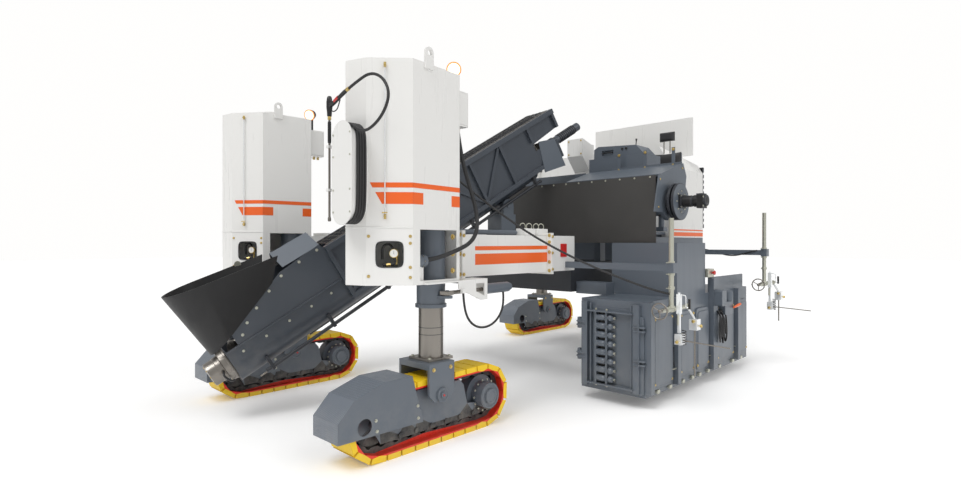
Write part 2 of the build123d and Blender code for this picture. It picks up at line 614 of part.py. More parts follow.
main_frame = block(FRAME_REAR, CROSS_REAR, FRAME_RIGHT, FRAME_LEFT, RAIL_BOTTOM, RAIL_TOP)
for front, rear in ((CROSS_REAR - 200, DECK_FRONT - 100), (DECK_FRONT - 300, HOOD_FRONT + 100),
                    (HOOD_FRONT - 60, FRAME_REAR + 160)):
    main_frame -= block(rear, front, FRAME_RIGHT + RAIL_WIDTH, FRAME_LEFT - RAIL_WIDTH, RAIL_BOTTOM - 5, RAIL_TOP + 5)
for out_y in (FRAME_LEFT, FRAME_RIGHT + RAIL_WIDTH):
    main_frame -= block(FRAME_REAR - 5, CROSS_REAR - BEAM_SHEET, out_y - RAIL_WIDTH + BEAM_SHEET, out_y - BEAM_SHEET,
                        RAIL_BOTTOM + BEAM_SHEET, RAIL_TOP - BEAM_SHEET)
rear_tower = solid_plan("rear")
main_frame += block(FRAME_REAR + 200, -5000, FRAME_RIGHT - 80, FRAME_RIGHT, TOWER_FLOOR + 10, RAIL_TOP)
nodes["main_frame"] = main_frame - rear_tower

rear_body = block(HOOD_REAR, DECK_FRONT - 500, FRAME_RIGHT, HOOD_LEFT, RAIL_TOP, HOOD_BOTTOM)
rear_body += block(HOOD_REAR, DECK_FRONT - 500, FRAME_LEFT, HOOD_LEFT, 960, RAIL_TOP)
rear_body -= block(HOOD_REAR + BEAM_SHEET, DECK_FRONT - 500 - BEAM_SHEET, TANK_WALL_Y, HOOD_LEFT - BEAM_SHEET,
                   RAIL_TOP, HOOD_BOTTOM - BEAM_SHEET)
rear_body -= block(HOOD_REAR + BEAM_SHEET, DECK_FRONT - 500 - BEAM_SHEET, FRAME_LEFT + BEAM_SHEET,
                   HOOD_LEFT - BEAM_SHEET, 955, RAIL_TOP + 5)
rear_body -= block(HOOD_REAR + BEAM_SHEET, DECK_FRONT - 500 - BEAM_SHEET, TANK_WALL_Y, FRAME_LEFT - RAIL_WIDTH,
                   RAIL_TOP - 5, RAIL_TOP + 5)
nodes["rear_body"] = rear_body - rear_tower

# Hood: a sheet shell, its top falling to the rear, with the opening under the lid
hood_side = [(HOOD_FRONT, HOOD_BOTTOM), (HOOD_FRONT, HOOD_TOP_FRONT), (HOOD_REAR, HOOD_TOP_REAR),
             (HOOD_REAR, HOOD_BOTTOM)]
hood = prism_y(hood_side, HOOD_RIGHT, HOOD_LEFT)
sheet = HOOD_SHEET
lean = (HOOD_LEFT - HOOD_SHOULDER_Y) / (HOOD_TOP_FRONT - HOOD_SHOULDER_Z)


def above_shoulder(depth):
    """All that lies over the slanted panel, `depth` inside its outer face."""
    low_z, high_z = HOOD_SHOULDER_Z - depth, HOOD_TOP_FRONT + 100
    edge = HOOD_LEFT - depth
    points = [(edge + 50, low_z), (edge, low_z), (edge - (high_z - low_z) * lean, high_z), (edge + 50, high_z)]
    return prism_x(points, HOOD_REAR - 10, HOOD_FRONT + 10)


hood -= above_shoulder(0.0)
hood_room = [(HOOD_FRONT - sheet, HOOD_BOTTOM - 5), (HOOD_FRONT - sheet, HOOD_TOP_FRONT - sheet),
             (HOOD_REAR + sheet, HOOD_TOP_REAR - sheet), (HOOD_REAR + sheet, HOOD_BOTTOM - 5)]
hood -= prism_y(hood_room, HOOD_RIGHT + sheet, HOOD_LEFT - sheet) - above_shoulder(sheet)
hood -= block(LID_HINGE_X + 30, HOOD_FRONT - 60, LID_RIGHT + 40, HOOD_SHOULDER_Y - 40, HOOD_SHOULDER_Z + 80,
              HOOD_TOP_FRONT + 150)
for number in range(12):
    z = 1900 + number * 80
    hood -= block(HOOD_REAR - 5, HOOD_REAR + sheet + 5, HOOD_RIGHT + 120, HOOD_LEFT - 120, z, z + 45)
nodes["engine_hood"] = hood - rear_tower

# Lid, raised on three hinges along the hood's top
hood_fall = (HOOD_TOP_FRONT - HOOD_TOP_REAR) / (HOOD_FRONT - HOOD_REAR)
lid_axis_x = LID_HINGE_X - LID_THICK / 2
lid_axis_z = HOOD_TOP_REAR + (lid_axis_x - HOOD_REAR) * hood_fall + LID_LIFT
lid = block(LID_HINGE_X - LID_THICK, LID_HINGE_X, LID_RIGHT, HOOD_LEFT, lid_axis_z + KNUCKLE_RADIUS + 3,
            lid_axis_z + LID_LENGTH)
for y in (LID_RIGHT + 200, (LID_RIGHT + HOOD_LEFT) / 2, HOOD_LEFT - 250):
    lid += block(LID_HINGE_X - LID_THICK + 6, LID_HINGE_X - 6, y - 50, y + 50, lid_axis_z,
                 lid_axis_z + KNUCKLE_RADIUS + 5)
    lid += rod((lid_axis_x, y - 50, lid_axis_z), (lid_axis_x, y + 50, lid_axis_z), KNUCKLE_RADIUS)
    for side in (-1, 1):
        near, far = y + side * (50 + GAP), y + side * 80
        lug = block(lid_axis_x - 10, lid_axis_x + 10, near, far, lid_axis_z - LID_LIFT - 8, lid_axis_z)
        lug += rod((lid_axis_x, near, lid_axis_z), (lid_axis_x, far, lid_axis_z), KNUCKLE_RADIUS)
        nodes["engine_hood"] += lug
nodes["engine_lid"] = lid

# Cooler cowl: a shallow sheet box with rounded upright edges and slats
cowl_rear = HOOD_REAR - COWL_DEPTH


def cowl_slab(depth):
    """Plan of the cowl with two round corners, `depth` inside its outer face."""
    x0, y0, y1 = cowl_rear + depth, COWL_RIGHT + depth, HOOD_LEFT - depth
    slab = block(x0, HOOD_REAR, y0, y1, COWL_BOTTOM + depth, COWL_TOP - depth)
    upright = slab.edges().filter_by(Axis.Z).group_by(Axis.X)[0]
    return fillet(upright, COWL_DEPTH - 25 - depth)


cowl = cowl_slab(0.0) - cowl_slab(COWL_SHEET)
number = 0
while COWL_BOTTOM + 60 + number * COWL_SLAT + COWL_SLAT / 2 < COWL_TOP - 40:
    low_z = COWL_BOTTOM + 60 + number * COWL_SLAT
    for start, end in ((COWL_RIGHT - 5, -20), (20, HOOD_LEFT + 5)):
        cowl -= block(cowl_rear - 5, HOOD_REAR - 20, start, end, low_z, low_z + COWL_SLAT / 2)
    number += 1
nodes["cooler_cowl"] = cowl

length, width, height = ENGINE_SIZE
nodes["engine"] = block(ENGINE_X - length / 2, ENGINE_X + length / 2, ENGINE_Y - width / 2, ENGINE_Y + width / 2,
                        HOOD_BOTTOM, HOOD_BOTTOM + height)

# Platform: deck, the cabinet under it and its rail
deck = block(HOOD_FRONT, DECK_FRONT, FRAME_RIGHT, FRAME_LEFT, DECK_TOP - DECK_THICK, DECK_TOP)
deck += block(HOOD_FRONT, DECK_FRONT - 100, FRAME_RIGHT + 60, FRAME_LEFT - 60, HOOD_BOTTOM, DECK_TOP)
deck += block(DECK_FRONT - 500, DECK_FRONT - 100, FRAME_RIGHT + 60, FRAME_LEFT - 60, RAIL_TOP, DECK_TOP)
deck -= block(HOOD_FRONT + 12, DECK_FRONT - 112, FRAME_RIGHT + 72, FRAME_LEFT - 72, HOOD_BOTTOM - 5,
              DECK_TOP - DECK_THICK)
deck -= block(DECK_FRONT - 488, DECK_FRONT - 112, FRAME_RIGHT + 72, FRAME_LEFT - 72, RAIL_TOP - 5,
              DECK_TOP - DECK_THICK)
deck += block(SEAT_X - 60, SEAT_X + 60, 700, SEAT_Y + 60, DECK_TOP, DECK_TOP + 60)
deck += rod((SEAT_X, SEAT_Y, DECK_TOP + 60), (SEAT_X, SEAT_Y, SEAT_HEIGHT - 20), 40)
deck += block(SEAT_X - 220, SEAT_X + 200, SEAT_Y - SEAT_WIDTH / 2, SEAT_Y + SEAT_WIDTH / 2, SEAT_HEIGHT - 20,
              SEAT_HEIGHT)
deck += block(SEAT_X - 240, SEAT_X - 220, SEAT_Y - SEAT_WIDTH / 2 + 20, SEAT_Y + SEAT_WIDTH / 2 - 20,
              SEAT_HEIGHT - 20, SEAT_HEIGHT + 680)
nodes["platform_deck"] = deck

wall = 12.0
console = block(CONSOLE_REAR, CONSOLE_FRONT, CONSOLE_RIGHT, CONSOLE_FOOT, DECK_TOP, CONSOLE_SHELF)
console += block(CONSOLE_REAR, CONSOLE_FRONT, CONSOLE_RIGHT, CONSOLE_LEFT, CONSOLE_SHELF - 160, CONSOLE_SHELF)
console += prism_x(CONSOLE_PANEL, CONSOLE_REAR, CONSOLE_FRONT - 30)
console -= block(CONSOLE_REAR + wall, CONSOLE_FRONT - wall, CONSOLE_RIGHT + wall, CONSOLE_FOOT - wall,
                 DECK_TOP - 5, CONSOLE_SHELF - wall)
console -= block(CONSOLE_FRONT - 62, CONSOLE_FRONT - 25, 815, 994, 2885, 2955)
nodes["control_console"] = console

cabinet = prism_y(CABINET_HEAD, CABINET_RIGHT, CABINET_LEFT)
cabinet += block(-3900, -3790, CABINET_RIGHT, CABINET_LEFT, DECK_TOP, 2760)
cabinet -= block(-3900 + wall, -3790 - wall, CABINET_RIGHT + wall, CABINET_LEFT - wall, DECK_TOP - 5, 3000)
nodes["side_cabinet"] = cabinet

half = SEAT_WIDTH / 2
back = SEAT_X - 220 + GAP
seat = block(back, SEAT_X + 200, SEAT_Y - half, SEAT_Y + half, SEAT_HEIGHT + GAP, SEAT_HEIGHT + 110)
seat += block(back, back + 90, SEAT_Y - half + 10, SEAT_Y + half - 10, SEAT_HEIGHT + GAP, SEAT_HEIGHT + 690)
seat += block(back + 20, back + 60, SEAT_Y - 60, SEAT_Y + 60, SEAT_HEIGHT + 690, SEAT_HEIGHT + 860)
seat += block(back, back + 90, SEAT_Y - 110, SEAT_Y + 110, SEAT_HEIGHT + 850, SEAT_HEIGHT + 985)
nodes["operator_seat"] = seat

# Cross trough, its cover and end, on two posts
outer = TROUGH_RADIUS + TROUGH_WALL
section = [(TROUGH_X - outer, TROUGH_Z), (TROUGH_X - outer, TROUGH_RIM), (TROUGH_X + outer, TROUGH_RIM),
           (TROUGH_X + outer, TROUGH_Z)]
trough = prism_y(section, TROUGH_RIGHT, TROUGH_LEFT)
trough += rod((TROUGH_X, TROUGH_RIGHT, TROUGH_Z), (TROUGH_X, TROUGH_LEFT, TROUGH_Z), outer)
hollow = block(TROUGH_X - TROUGH_RADIUS, TROUGH_X + TROUGH_RADIUS, TROUGH_RIGHT + 12, TROUGH_LEFT - 12,
               TROUGH_Z, TROUGH_RIM + 5)
hollow += rod((TROUGH_X, TROUGH_RIGHT + 12, TROUGH_Z), (TROUGH_X, TROUGH_LEFT - 12, TROUGH_Z), TROUGH_RADIUS)
trough -= hollow
cover = prism_y([(COVER_REAR, COVER_REAR_Z), (COVER_FRONT, COVER_FRONT_Z), (COVER_FRONT, TROUGH_RIM),
                 (TROUGH_X + outer, TROUGH_RIM - 20), (TROUGH_X - outer, TROUGH_RIM - 20),
                 (COVER_REAR, TROUGH_RIM)], COVER_RIGHT, TROUGH_LEFT)
cover -= prism_y([(COVER_REAR + COVER_SHEET, COVER_REAR_Z - 12), (COVER_FRONT - COVER_SHEET, COVER_FRONT_Z - 8),
                  (COVER_FRONT - COVER_SHEET, TROUGH_RIM + 2), (TROUGH_X + TROUGH_RADIUS, TROUGH_RIM - 25),
                  (TROUGH_X - TROUGH_RADIUS, TROUGH_RIM - 25), (COVER_REAR + COVER_SHEET, TROUGH_RIM + 8)],
                 COVER_RIGHT - 5, TROUGH_LEFT - 12)
trough += cover
trough += prism_y(END_PLATE, TROUGH_LEFT - 12, TROUGH_LEFT)
trough += block(TROUGH_X - outer, TROUGH_X - TROUGH_RADIUS, TROUGH_RIGHT, COVER_RIGHT, TROUGH_RIM, SPLASH_TOP)
trough += block(COVER_REAR - 6, COVER_REAR, BAR_PLACES[0] - 94, BAR_PLACES[-1] + 113, COVER_REAR_Z - 30,
                COVER_REAR_Z + 25)
for y in BAR_PLACES:
    trough += block(COVER_REAR - 12, COVER_REAR - 6, y - BAR_WIDTH / 2, y + BAR_WIDTH / 2, COVER_REAR_Z - 30, BAR_TOP)
trough -= block(TROUGH_X - 150, TROUGH_X + 150, MOULD_IN + 40, TROUGH_LEFT - 60, TROUGH_Z - outer - 5, TROUGH_Z)
trough -= rod((TROUGH_X, TROUGH_LEFT - 20, TROUGH_Z), (TROUGH_X, TROUGH_LEFT + 5, TROUGH_Z), AUGER_SHAFT + 2)
trough += block(TROUGH_X + outer, APRON_X - 12, TROUGH_RIGHT + 60, TROUGH_LEFT - 40, TROUGH_RIM - 20, TROUGH_RIM)
for y in (-150, 1000):
    trough += block(TROUGH_X - 60, TROUGH_X + 60, y, y + 90, RAIL_TOP, TROUGH_Z - TROUGH_RADIUS - 4)
nodes["cross_trough"] = trough
nodes["trough_apron"] = block(APRON_X - 12, APRON_X, TROUGH_RIGHT + 70, TROUGH_LEFT - 40, APRON_BOTTOM, TROUGH_RIM)

flight = make_auger(TROUGH_LEFT - TROUGH_RIGHT - 80, AUGER_RADIUS, AUGER_SHAFT, AUGER_PITCH)
auger = Pos(TROUGH_X, TROUGH_RIGHT + 40, TROUGH_Z) * Rot(0, 0, 90) * flight
auger += rod((TROUGH_X, TROUGH_RIGHT + 12.5, TROUGH_Z), (TROUGH_X, TROUGH_LEFT + 40, TROUGH_Z), AUGER_SHAFT)
nodes["cross_auger"] = auger

drive = rod((TROUGH_X, DISC_Y, TROUGH_Z), (TROUGH_X, DISC_Y + DISC_THICK, TROUGH_Z), DISC_RADIUS)
drive += rod((TROUGH_X, DISC_Y - 50, TROUGH_Z), (TROUGH_X, DISC_Y - 22, TROUGH_Z), DISC_RADIUS)
drive += rod((TROUGH_X, TROUGH_LEFT, TROUGH_Z), (TROUGH_X, DISC_Y, TROUGH_Z), 150)
drive -= rod((TROUGH_X, TROUGH_LEFT - 5, TROUGH_Z), (TROUGH_X, TROUGH_LEFT + 55, TROUGH_Z), AUGER_SHAFT + 5)
drive += rod((TROUGH_X, DISC_Y + DISC_THICK, TROUGH_Z), (TROUGH_X, DISC_Y + 330, TROUGH_Z), 62)
drive += block(TROUGH_X - 75, TROUGH_X + 75, DISC_Y + DISC_THICK, DISC_Y + 60, TROUGH_Z - 75, TROUGH_Z + 75)
drive += block(TROUGH_X - 60, TROUGH_X + 60, DISC_Y + 230, DISC_Y + 300, TROUGH_Z - 60, TROUGH_Z + 80)
nodes["auger_drive"] = drive

# Mould hopper: an open box over the mould
hopper = block(HOPPER_REAR, HOPPER_FRONT, MOULD_IN - 50, MOULD_OUT, MOULD_TOP, HOPPER_TOP)
hopper -= block(HOPPER_REAR + 10, HOPPER_FRONT - 10, MOULD_IN - 40, MOULD_OUT - 10, MOULD_TOP - 5, HOPPER_TOP + 5)
nodes["mould_hopper"] = hopper

# Mould: open box under the hopper, then the slipform's profile to the rear
mould = block(MOULD_REAR, MOULD_FRONT, MOULD_IN, MOULD_OUT, MOULD_BOTTOM, MOULD_TOP)
chamber_rear = HOPPER_REAR - 40
mould -= block(chamber_rear, MOULD_FRONT - MOULD_WALL, MOULD_IN + MOULD_WALL, MOULD_OUT - MOULD_WALL,
               MOULD_BOTTOM - 5, MOULD_TOP - MOULD_WALL)
mould -= block(HOPPER_REAR + 10, HOPPER_FRONT - 10, MOULD_IN + MOULD_WALL, MOULD_OUT - 10, 900, MOULD_TOP + 5)
middle = (MOULD_IN + MOULD_OUT) / 2
profile = [(middle - 340, MOULD_BOTTOM - 5), (middle - 340, 200), (middle - 240, 300), (middle - 160, 930),
           (middle + 160, 930), (middle + 240, 300), (middle + 340, 200), (middle + 340, MOULD_BOTTOM - 5)]
face = make_face(Polyline(*[(MOULD_REAR - 5, y, z) for y, z in profile], close=True))
mould -= extrude(face, amount=chamber_rear - MOULD_REAR + 10, dir=(1, 0, 0))
casing = block(MOULD_REAR + MOULD_WALL, chamber_rear - MOULD_WALL, MOULD_IN + MOULD_WALL, MOULD_OUT - MOULD_WALL,
               MOULD_BOTTOM - 5, MOULD_TOP - MOULD_WALL)
mould -= casing - extrude(offset(face, MOULD_WALL, kind=Kind.INTERSECTION), amount=chamber_rear - MOULD_REAR + 10,
                          dir=(1, 0, 0))
for rear, front, top in ((-2080, -2000, MOULD_TOP), (-2700, -2620, MOULD_TOP), (-3740, -3600, 1260),
                         (-4500, -4420, MOULD_TOP)):
    mould += block(rear, front, MOULD_OUT, MOULD_OUT + 60, MOULD_BOTTOM + 40, top)
mould += block(MOULD_REAR + 150, -3600, MOULD_OUT - MOULD_WALL, MOULD_OUT, MOULD_TOP, 1270)
for x, carrier_y in ((-2500, FRAME_LEFT), (-4400, HOOD_LEFT)):
    mould += block(x - 90, x + 90, carrier_y, MOULD_IN + 60, MOULD_TOP, RAIL_BOTTOM + 120)
    mould += block(x - 90, x + 90, MOULD_IN, MOULD_IN + 60, MOULD_TOP - 20, MOULD_TOP)
nodes["mould_body"] = mould

front = MOULD_FRONT
tray = block(front, front + 14, MOULD_IN + 110, MOULD_OUT - 110, 200, 1010)
tray += block(front, front + 80, MOULD_IN + 110, MOULD_OUT - 110, 190, 204)
tray += block(front, front + 80, MOULD_IN + 110, MOULD_OUT - 110, 960, 974)
for y in (1700, 1830):
    tray += block(front + 14, front + 60, y, y + 22, 204, 960)
for number in range(8):
    z = 260 + number * 92
    tray += rod((front + 40, 1722, z), (front + 40, 1830, z), 32)
    tray += rod((front + 14, 1900, z), (front + 62, 1900, z), 24)
for y in (MOULD_IN + 30, MOULD_OUT - 120):
    tray += block(front, front + 50, y, y + 70, 160, 1060)
nodes["mould_front"] = tray

# Feeding conveyor, built in its own frame
u = (-math.cos(math.radians(FEED_YAW)) * math.cos(math.radians(FEED_RISE)),
     math.sin(math.radians(FEED_YAW)) * math.cos(math.radians(FEED_RISE)), math.sin(math.radians(FEED_RISE)))
n = (math.cos(math.radians(FEED_YAW)) * math.sin(math.radians(FEED_RISE)),
     -math.sin(math.radians(FEED_YAW)) * math.sin(math.radians(FEED_RISE)), math.cos(math.radians(FEED_RISE)))
FEED = Plane(origin=FEED_TAIL, x_dir=u, z_dir=n).location

out = FEED_RADIUS + FEED_WALL


feed = rod((FEED_START, 0, FEED_AXIS), (FEED_END - 130, 0, FEED_AXIS), out)
feed += block(FEED_START, FEED_END - 130, -out, out, FEED_AXIS, FEED_RIM)
feed -= rod((FEED_START + 12, 0, FEED_AXIS), (FEED_END - 142, 0, FEED_AXIS), FEED_RADIUS)
feed -= block(FEED_START + 12, FEED_END - 142, -FEED_RADIUS, FEED_RADIUS, FEED_AXIS, FEED_RIM + 5)
feed -= block(FEED_START - 5, FEED_END, -out - 5, out + 5, FEED_RIM, FEED_RIM + 200)
feed -= block(FEED_END - 560, FEED_END - 142, -FEED_RADIUS + 20, FEED_RADIUS - 20, FEED_AXIS - 250, FEED_AXIS)
feed -= rod((FEED_START - 5, 0, FEED_AXIS), (FEED_START + 20, 0, FEED_AXIS), AUGER_SHAFT + 2)
for side in (-1, 1):
    skirt = [(250, FEED_RIM), (250, 180), (917, 438), (1368, 473), (1400, 420), (1400, FEED_RIM)]
    feed += prism_y(skirt, side * out, side * (out + SKIRT_SHEET))
    feed += block(FEED_START, TRUSS_START, side * (out - 4), side * (out + 22), FEED_RIM - 14, FEED_RIM)
lug = block(PIVOT_X - 90, PIVOT_X + 90, -100, 100, FEED_AXIS - out - 60, FEED_AXIS - FEED_RADIUS - 4)
lug += rod((PIVOT_X, -100, PIVOT_Z - 20), (PIVOT_X, 100, PIVOT_Z - 20), 70)
lug -= rod((PIVOT_X, -110, PIVOT_Z - 20), (PIVOT_X, 110, PIVOT_Z - 20), PIVOT_PIN + GAP)
feed += lug
nodes["feed_trough"] = FEED * feed

truss = None
bay = (FEED_END - TRUSS_START) / TRUSS_BAYS
outline = [(TRUSS_START, TRUSS_BOTTOM), (TRUSS_CUT, TRUSS_BOTTOM), (TRUSS_CUT + 20, HEAD_BOTTOM),
           (FEED_END, HEAD_BOTTOM + 35), (FEED_END, TRUSS_TOP), (TRUSS_START, TRUSS_TOP)]
for side in (-1, 1):
    wall = prism_y(outline, side * out, side * (out + 8))
    wall += block(TRUSS_START, TRUSS_CUT, side * out, side * (out + 50), TRUSS_BOTTOM - 20, TRUSS_BOTTOM + 30)
    wall += block(TRUSS_START, FEED_END, side * (out - 10), side * (out + 60), TRUSS_TOP - 10, TRUSS_TOP + 50)
    for number in range(TRUSS_BAYS + 1):
        x = TRUSS_START + number * bay
        x = min(max(x, TRUSS_START + 20), FEED_END - 20)
        low = TRUSS_BOTTOM + 30 if x < TRUSS_CUT else HEAD_BOTTOM + 35
        wall += block(x - 20, x + 20, side * (out + 8), side * (out + 45), low, TRUSS_TOP - 10)
        if x + bay < TRUSS_CUT:
            ends = ((x, TRUSS_BOTTOM + 20), (x + bay, TRUSS_TOP))
            if number % 2:
                ends = ((x, TRUSS_TOP), (x + bay, TRUSS_BOTTOM + 20))
            wall += strap(*ends, 34, side * (out + 8), side * (out + 30))
    truss = wall if truss is None else truss + wall
truss += block(FEED_END - 8, FEED_END, -out, out, HEAD_BOTTOM + 40, TRUSS_TOP)
truss += block(TRUSS_START, TRUSS_START + 8, -out, out, FEED_AXIS + FEED_RADIUS + 12, TRUSS_TOP)
nodes["feed_truss"] = FEED * truss

mesh = None
for number in range(46):
    x = TRUSS_START + 60 + number * 74
    piece = block(x, x + 8, -out - 4, out + 4, TRUSS_TOP + 50, TRUSS_TOP + 58)
    mesh = piece if mesh is None else mesh + piece
for y in (-out + 2, -70, 70, out - 10):
    mesh += block(TRUSS_START + 40, FEED_END - 40, y, y + 8, TRUSS_TOP + 50, TRUSS_TOP + 58)
nodes["feed_mesh"] = FEED * mesh


# Receiving flap: a rubber scoop round the tail, wider at its lip
def scoop_face(plane, run, half, thick):
    """U-shaped strip: two straight sides joined by a half circle."""
    centre = half
    points = [(run, half), (centre, half), (0, 0), (centre, -half), (run, -half)]
    inner = [(run, -half + thick), (centre, -half + thick), (thick, 0), (centre, half - thick),
             (run, half - thick)]
    line = [Line(points[0], points[1]), ThreePointArc(points[1], points[2], points[3]),
            Line(points[3], points[4]), Line(points[4], inner[0]), Line(inner[0], inner[1]),
            ThreePointArc(inner[1], inner[2], inner[3]), Line(inner[3], inner[4]), Line(inner[4], points[0])]
    return plane * make_face(Wire(line))


low = Plane(origin=(20, 0, 75), x_dir=(math.cos(math.radians(22)), 0, math.sin(math.radians(22))),
            z_dir=(-math.sin(math.radians(22)), 0, math.cos(math.radians(22))))
high = Plane(origin=(-40, 0, 760), x_dir=(math.cos(math.radians(-9)), 0, math.sin(math.radians(-9))),
             z_dir=(-math.sin(math.radians(-9)), 0, math.cos(math.radians(-9))))
half_low = out + SKIRT_SHEET + FLAP_THICK + GAP
flap = loft([scoop_face(low, 840, half_low, FLAP_THICK), scoop_face(high, 1010, FLAP_REACH, FLAP_THICK)],
            ruled=True)
nodes["hopper_flap"] = FEED * flap

screw = make_auger(FEED_END - 142 - FEED_START - 12 - 40, FEED_RADIUS - 15, AUGER_SHAFT, AUGER_PITCH)
screw = Pos(FEED_START + 32, 0, FEED_AXIS) * screw
screw += rod((FEED_START - 60, 0, FEED_AXIS), (FEED_END - 142.5, 0, FEED_AXIS), AUGER_SHAFT)
nodes["feed_auger"] = FEED * screw

motor = rod((FEED_START, 0, FEED_AXIS), (FEED_START - 70, 0, FEED_AXIS), 165)
motor += rod((FEED_START - 70, 0, FEED_AXIS), (FEED_START - 200, 0, FEED_AXIS), 120)
motor -= rod((FEED_START + 1, 0, FEED_AXIS), (FEED_START - 66, 0, FEED_AXIS), AUGER_SHAFT + 5)
nodes["feed_drive"] = FEED * motor

spout_low = FEED_AXIS - out - SPOUT_DROP
head = FEED_END - 130
cheek = [(head - 253, HEAD_BOTTOM - 6), (head + 10, HEAD_BOTTOM - 86), (head + 10, spout_low),
         (head - 354, spout_low + 80)]
spout = block(head, head + 10, -out - SPOUT_SHEET, out + SPOUT_SHEET, spout_low, FEED_RIM)
for side in (-1, 1):
    spout += prism_y(cheek, side * out, side * (out + SPOUT_SHEET))
nodes["feed_spout"] = FEED * spout

motor = block(head + 10, head + 110, -150, 150, -220, MOTOR_Z + 50)
motor += rod((head + 110, 0, MOTOR_Z), (MOTOR_END, 0, MOTOR_Z), MOTOR_RADIUS)
motor += rod((head + 110, 0, MOTOR_Z), (head + 150, 0, MOTOR_Z), MOTOR_RADIUS + 14)
nodes["feed_truss"] += FEED * motor

# Pedestal that slews on the cross beam and carries the conveyor's pin
pivot = FEED * Pos(PIVOT_X, 0, PIVOT_Z - 20)
px, py, pz = pivot.position
slew = Pos(px, py, 0) * Rot(0, 0, -FEED_YAW)
pedestal = rod((0, 0, BEAM_TOP + GAP), (0, 0, BEAM_TOP + 40), 190)
pedestal += block(-110, 110, -150, 150, BEAM_TOP + 40, pz - 110)
for side in (-1, 1):
    pedestal += block(-80, 80, side * (100 + 8), side * 150, pz - 110, pz)
    pedestal += rod((0, side * (100 + 8), pz), (0, side * 150, pz), 80)
pedestal += rod((0, -165, pz), (0, 165, pz), PIVOT_PIN)
nodes["feed_pedestal"] = slew * pedestal

# Sensor booms, masts and the sensors they hold
booms, masts = None, None
for x, z, start, low_z, top_z, drop in BOOMS:
    boom = block(x - BOOM_SIZE / 2, x + BOOM_SIZE / 2, start, MAST_Y - MAST_RADIUS - 5, z - BOOM_SIZE / 2,
                 z + BOOM_SIZE / 2)
    boom += block(x - 50, x + 50, MAST_Y - MAST_RADIUS - 5, MAST_Y + MAST_RADIUS + 20, z - 50, z + 50)
    boom -= rod((x, MAST_Y, z - 60), (x, MAST_Y, z + 60), MAST_RADIUS + GAP)
    mast = rod((x, MAST_Y, low_z), (x, MAST_Y, top_z), MAST_RADIUS)
    mast += rod((x + 260, MAST_Y + 10, low_z + 30), (x - 420, MAST_Y + 10, low_z + 30), 28)
    mast += rod((x + 260, MAST_Y + 10, low_z + 30), (x + 285, MAST_Y + 10, low_z + 30), 85)
    mast += block(x - 60, x + 60, MAST_Y + 30, MAST_Y + 110, low_z - 330, low_z + 180)
    mast += block(x - 440, x - 340, MAST_Y + 20, MAST_Y + 120, low_z - 220, low_z + 40)
    mast += rod((x, MAST_Y + 100, low_z - 280), (x, MAST_Y + 560, low_z - 300), 8)
    mast += rod((x - 390, MAST_Y + 70, low_z - 200), (x - 390, MAST_Y + 70, drop), 10)
    booms = boom if booms is None else booms + boom
    masts = mast if masts is None else masts + mast
nodes["sensor_booms"] = booms
nodes["sensor_masts"] = masts

# Wash hose reel in front of the left tower
reel_x, reel_y, reel_low, reel_high = 705.0, 1230.0, 1830.0, 2630.0


def stadium(x0, x1, half, low_z, high_z):
    """Upright slab with round ends, facing along X."""
    slab = block(x0, x1, reel_y - half, reel_y + half, low_z + half, high_z - half)
    for z in (low_z + half, high_z - half):
        slab += rod((x0, reel_y, z), (x1, reel_y, z), half)
    return slab


reel = stadium(reel_x + 150, reel_x + 156, 140, reel_low, reel_high)
reel += stadium(reel_x + 8, reel_x + 150, 60, reel_low + 90, reel_high - 90)
reel += block(600, reel_x + 8, reel_y - 50, reel_y + 50, 2000, 2400)
nodes["hose_reel"] = reel - solid_plan("left")
coil = stadium(reel_x + 12, reel_x + 148, 150, reel_low + 5, reel_high - 5)
coil -= stadium(reel_x, reel_x + 160, 61, reel_low + 89, reel_high - 89)
nodes["wash_hose_coil"] = coil - solid_plan("left")

# Wash gun with its lance, in two clips beside the reel
lance_x, lance_y = 850.0, 1040.0
for z in (2100, 2440):
    clip = block(600, lance_x + 20, lance_y - 18, lance_y + 18, z, z + 20)
    clip -= rod((lance_x, lance_y, z - 5), (lance_x, lance_y, z + 25), LANCE_RADIUS + GAP)
    nodes["hose_reel"] += clip - solid_plan("left")
lance = rod((lance_x, lance_y, 1890), (lance_x, lance_y, 2690), LANCE_RADIUS)
lance += rod((lance_x, lance_y, 1860), (lance_x, lance_y, 1890), LANCE_RADIUS + 4)
lance += rod((lance_x, lance_y, 2480), (lance_x, lance_y, 2650), LANCE_RADIUS + 5)
lance += rod((lance_x, lance_y, 2690), (lance_x, lance_y, 2850), 24)
lance += rod((lance_x, lance_y + 10, 2770), (846, 1285, 2856), 17)
nodes["wash_lance"] = lance

# Hoses and the sensor cable that hang free
WASH_HOSE = [(800, 1300, 2505), (820, 1457, 2512), (812, 1600, 2552), (795, 1700, 2650), (775, 1722, 2775),
             (782, 1650, 2893), (800, 1525, 2950), (830, 1400, 2905), (848, 1270, 2850)]
TOWER_HOSE = [(-262, 1335, 2730), (-300, 1345, 2480), (-372, 1365, 2240), (-428, 1410, 2010), (-385, 1475, 1810),
              (-230, 1540, 1690), (-30, 1560, 1625), (110, 1510, 1570), (219, 1443, 1545)]
STEER_HOSE = [(-130, 257, 1260), (-135, 262, 1150), (-185, 262, 1030), (-300, 258, 950), (-450, 255, 925),
              (-600, 250, 955), (-720, 240, 1040), (-775, 225, 1150), (-790, 205, 1235)]
MAST_CABLE = [(-122, 1067, 2450), (-262, 1150, 2372), (-409, 1246, 2247), (-560, 1350, 2104), (-735, 1471, 1948),
              (-950, 1620, 1774), (-1195, 1789, 1613), (-1450, 1965, 1470), (-1705, 2142, 1346), (-1900, 2277, 1262),
              (-2020, 2362, 1215), (-2135, 2448, 1180)]
left_leg = Pos(LEGS[0][1], LEGS[0][2], 0) * Rot(0, 0, LEGS[0][3])
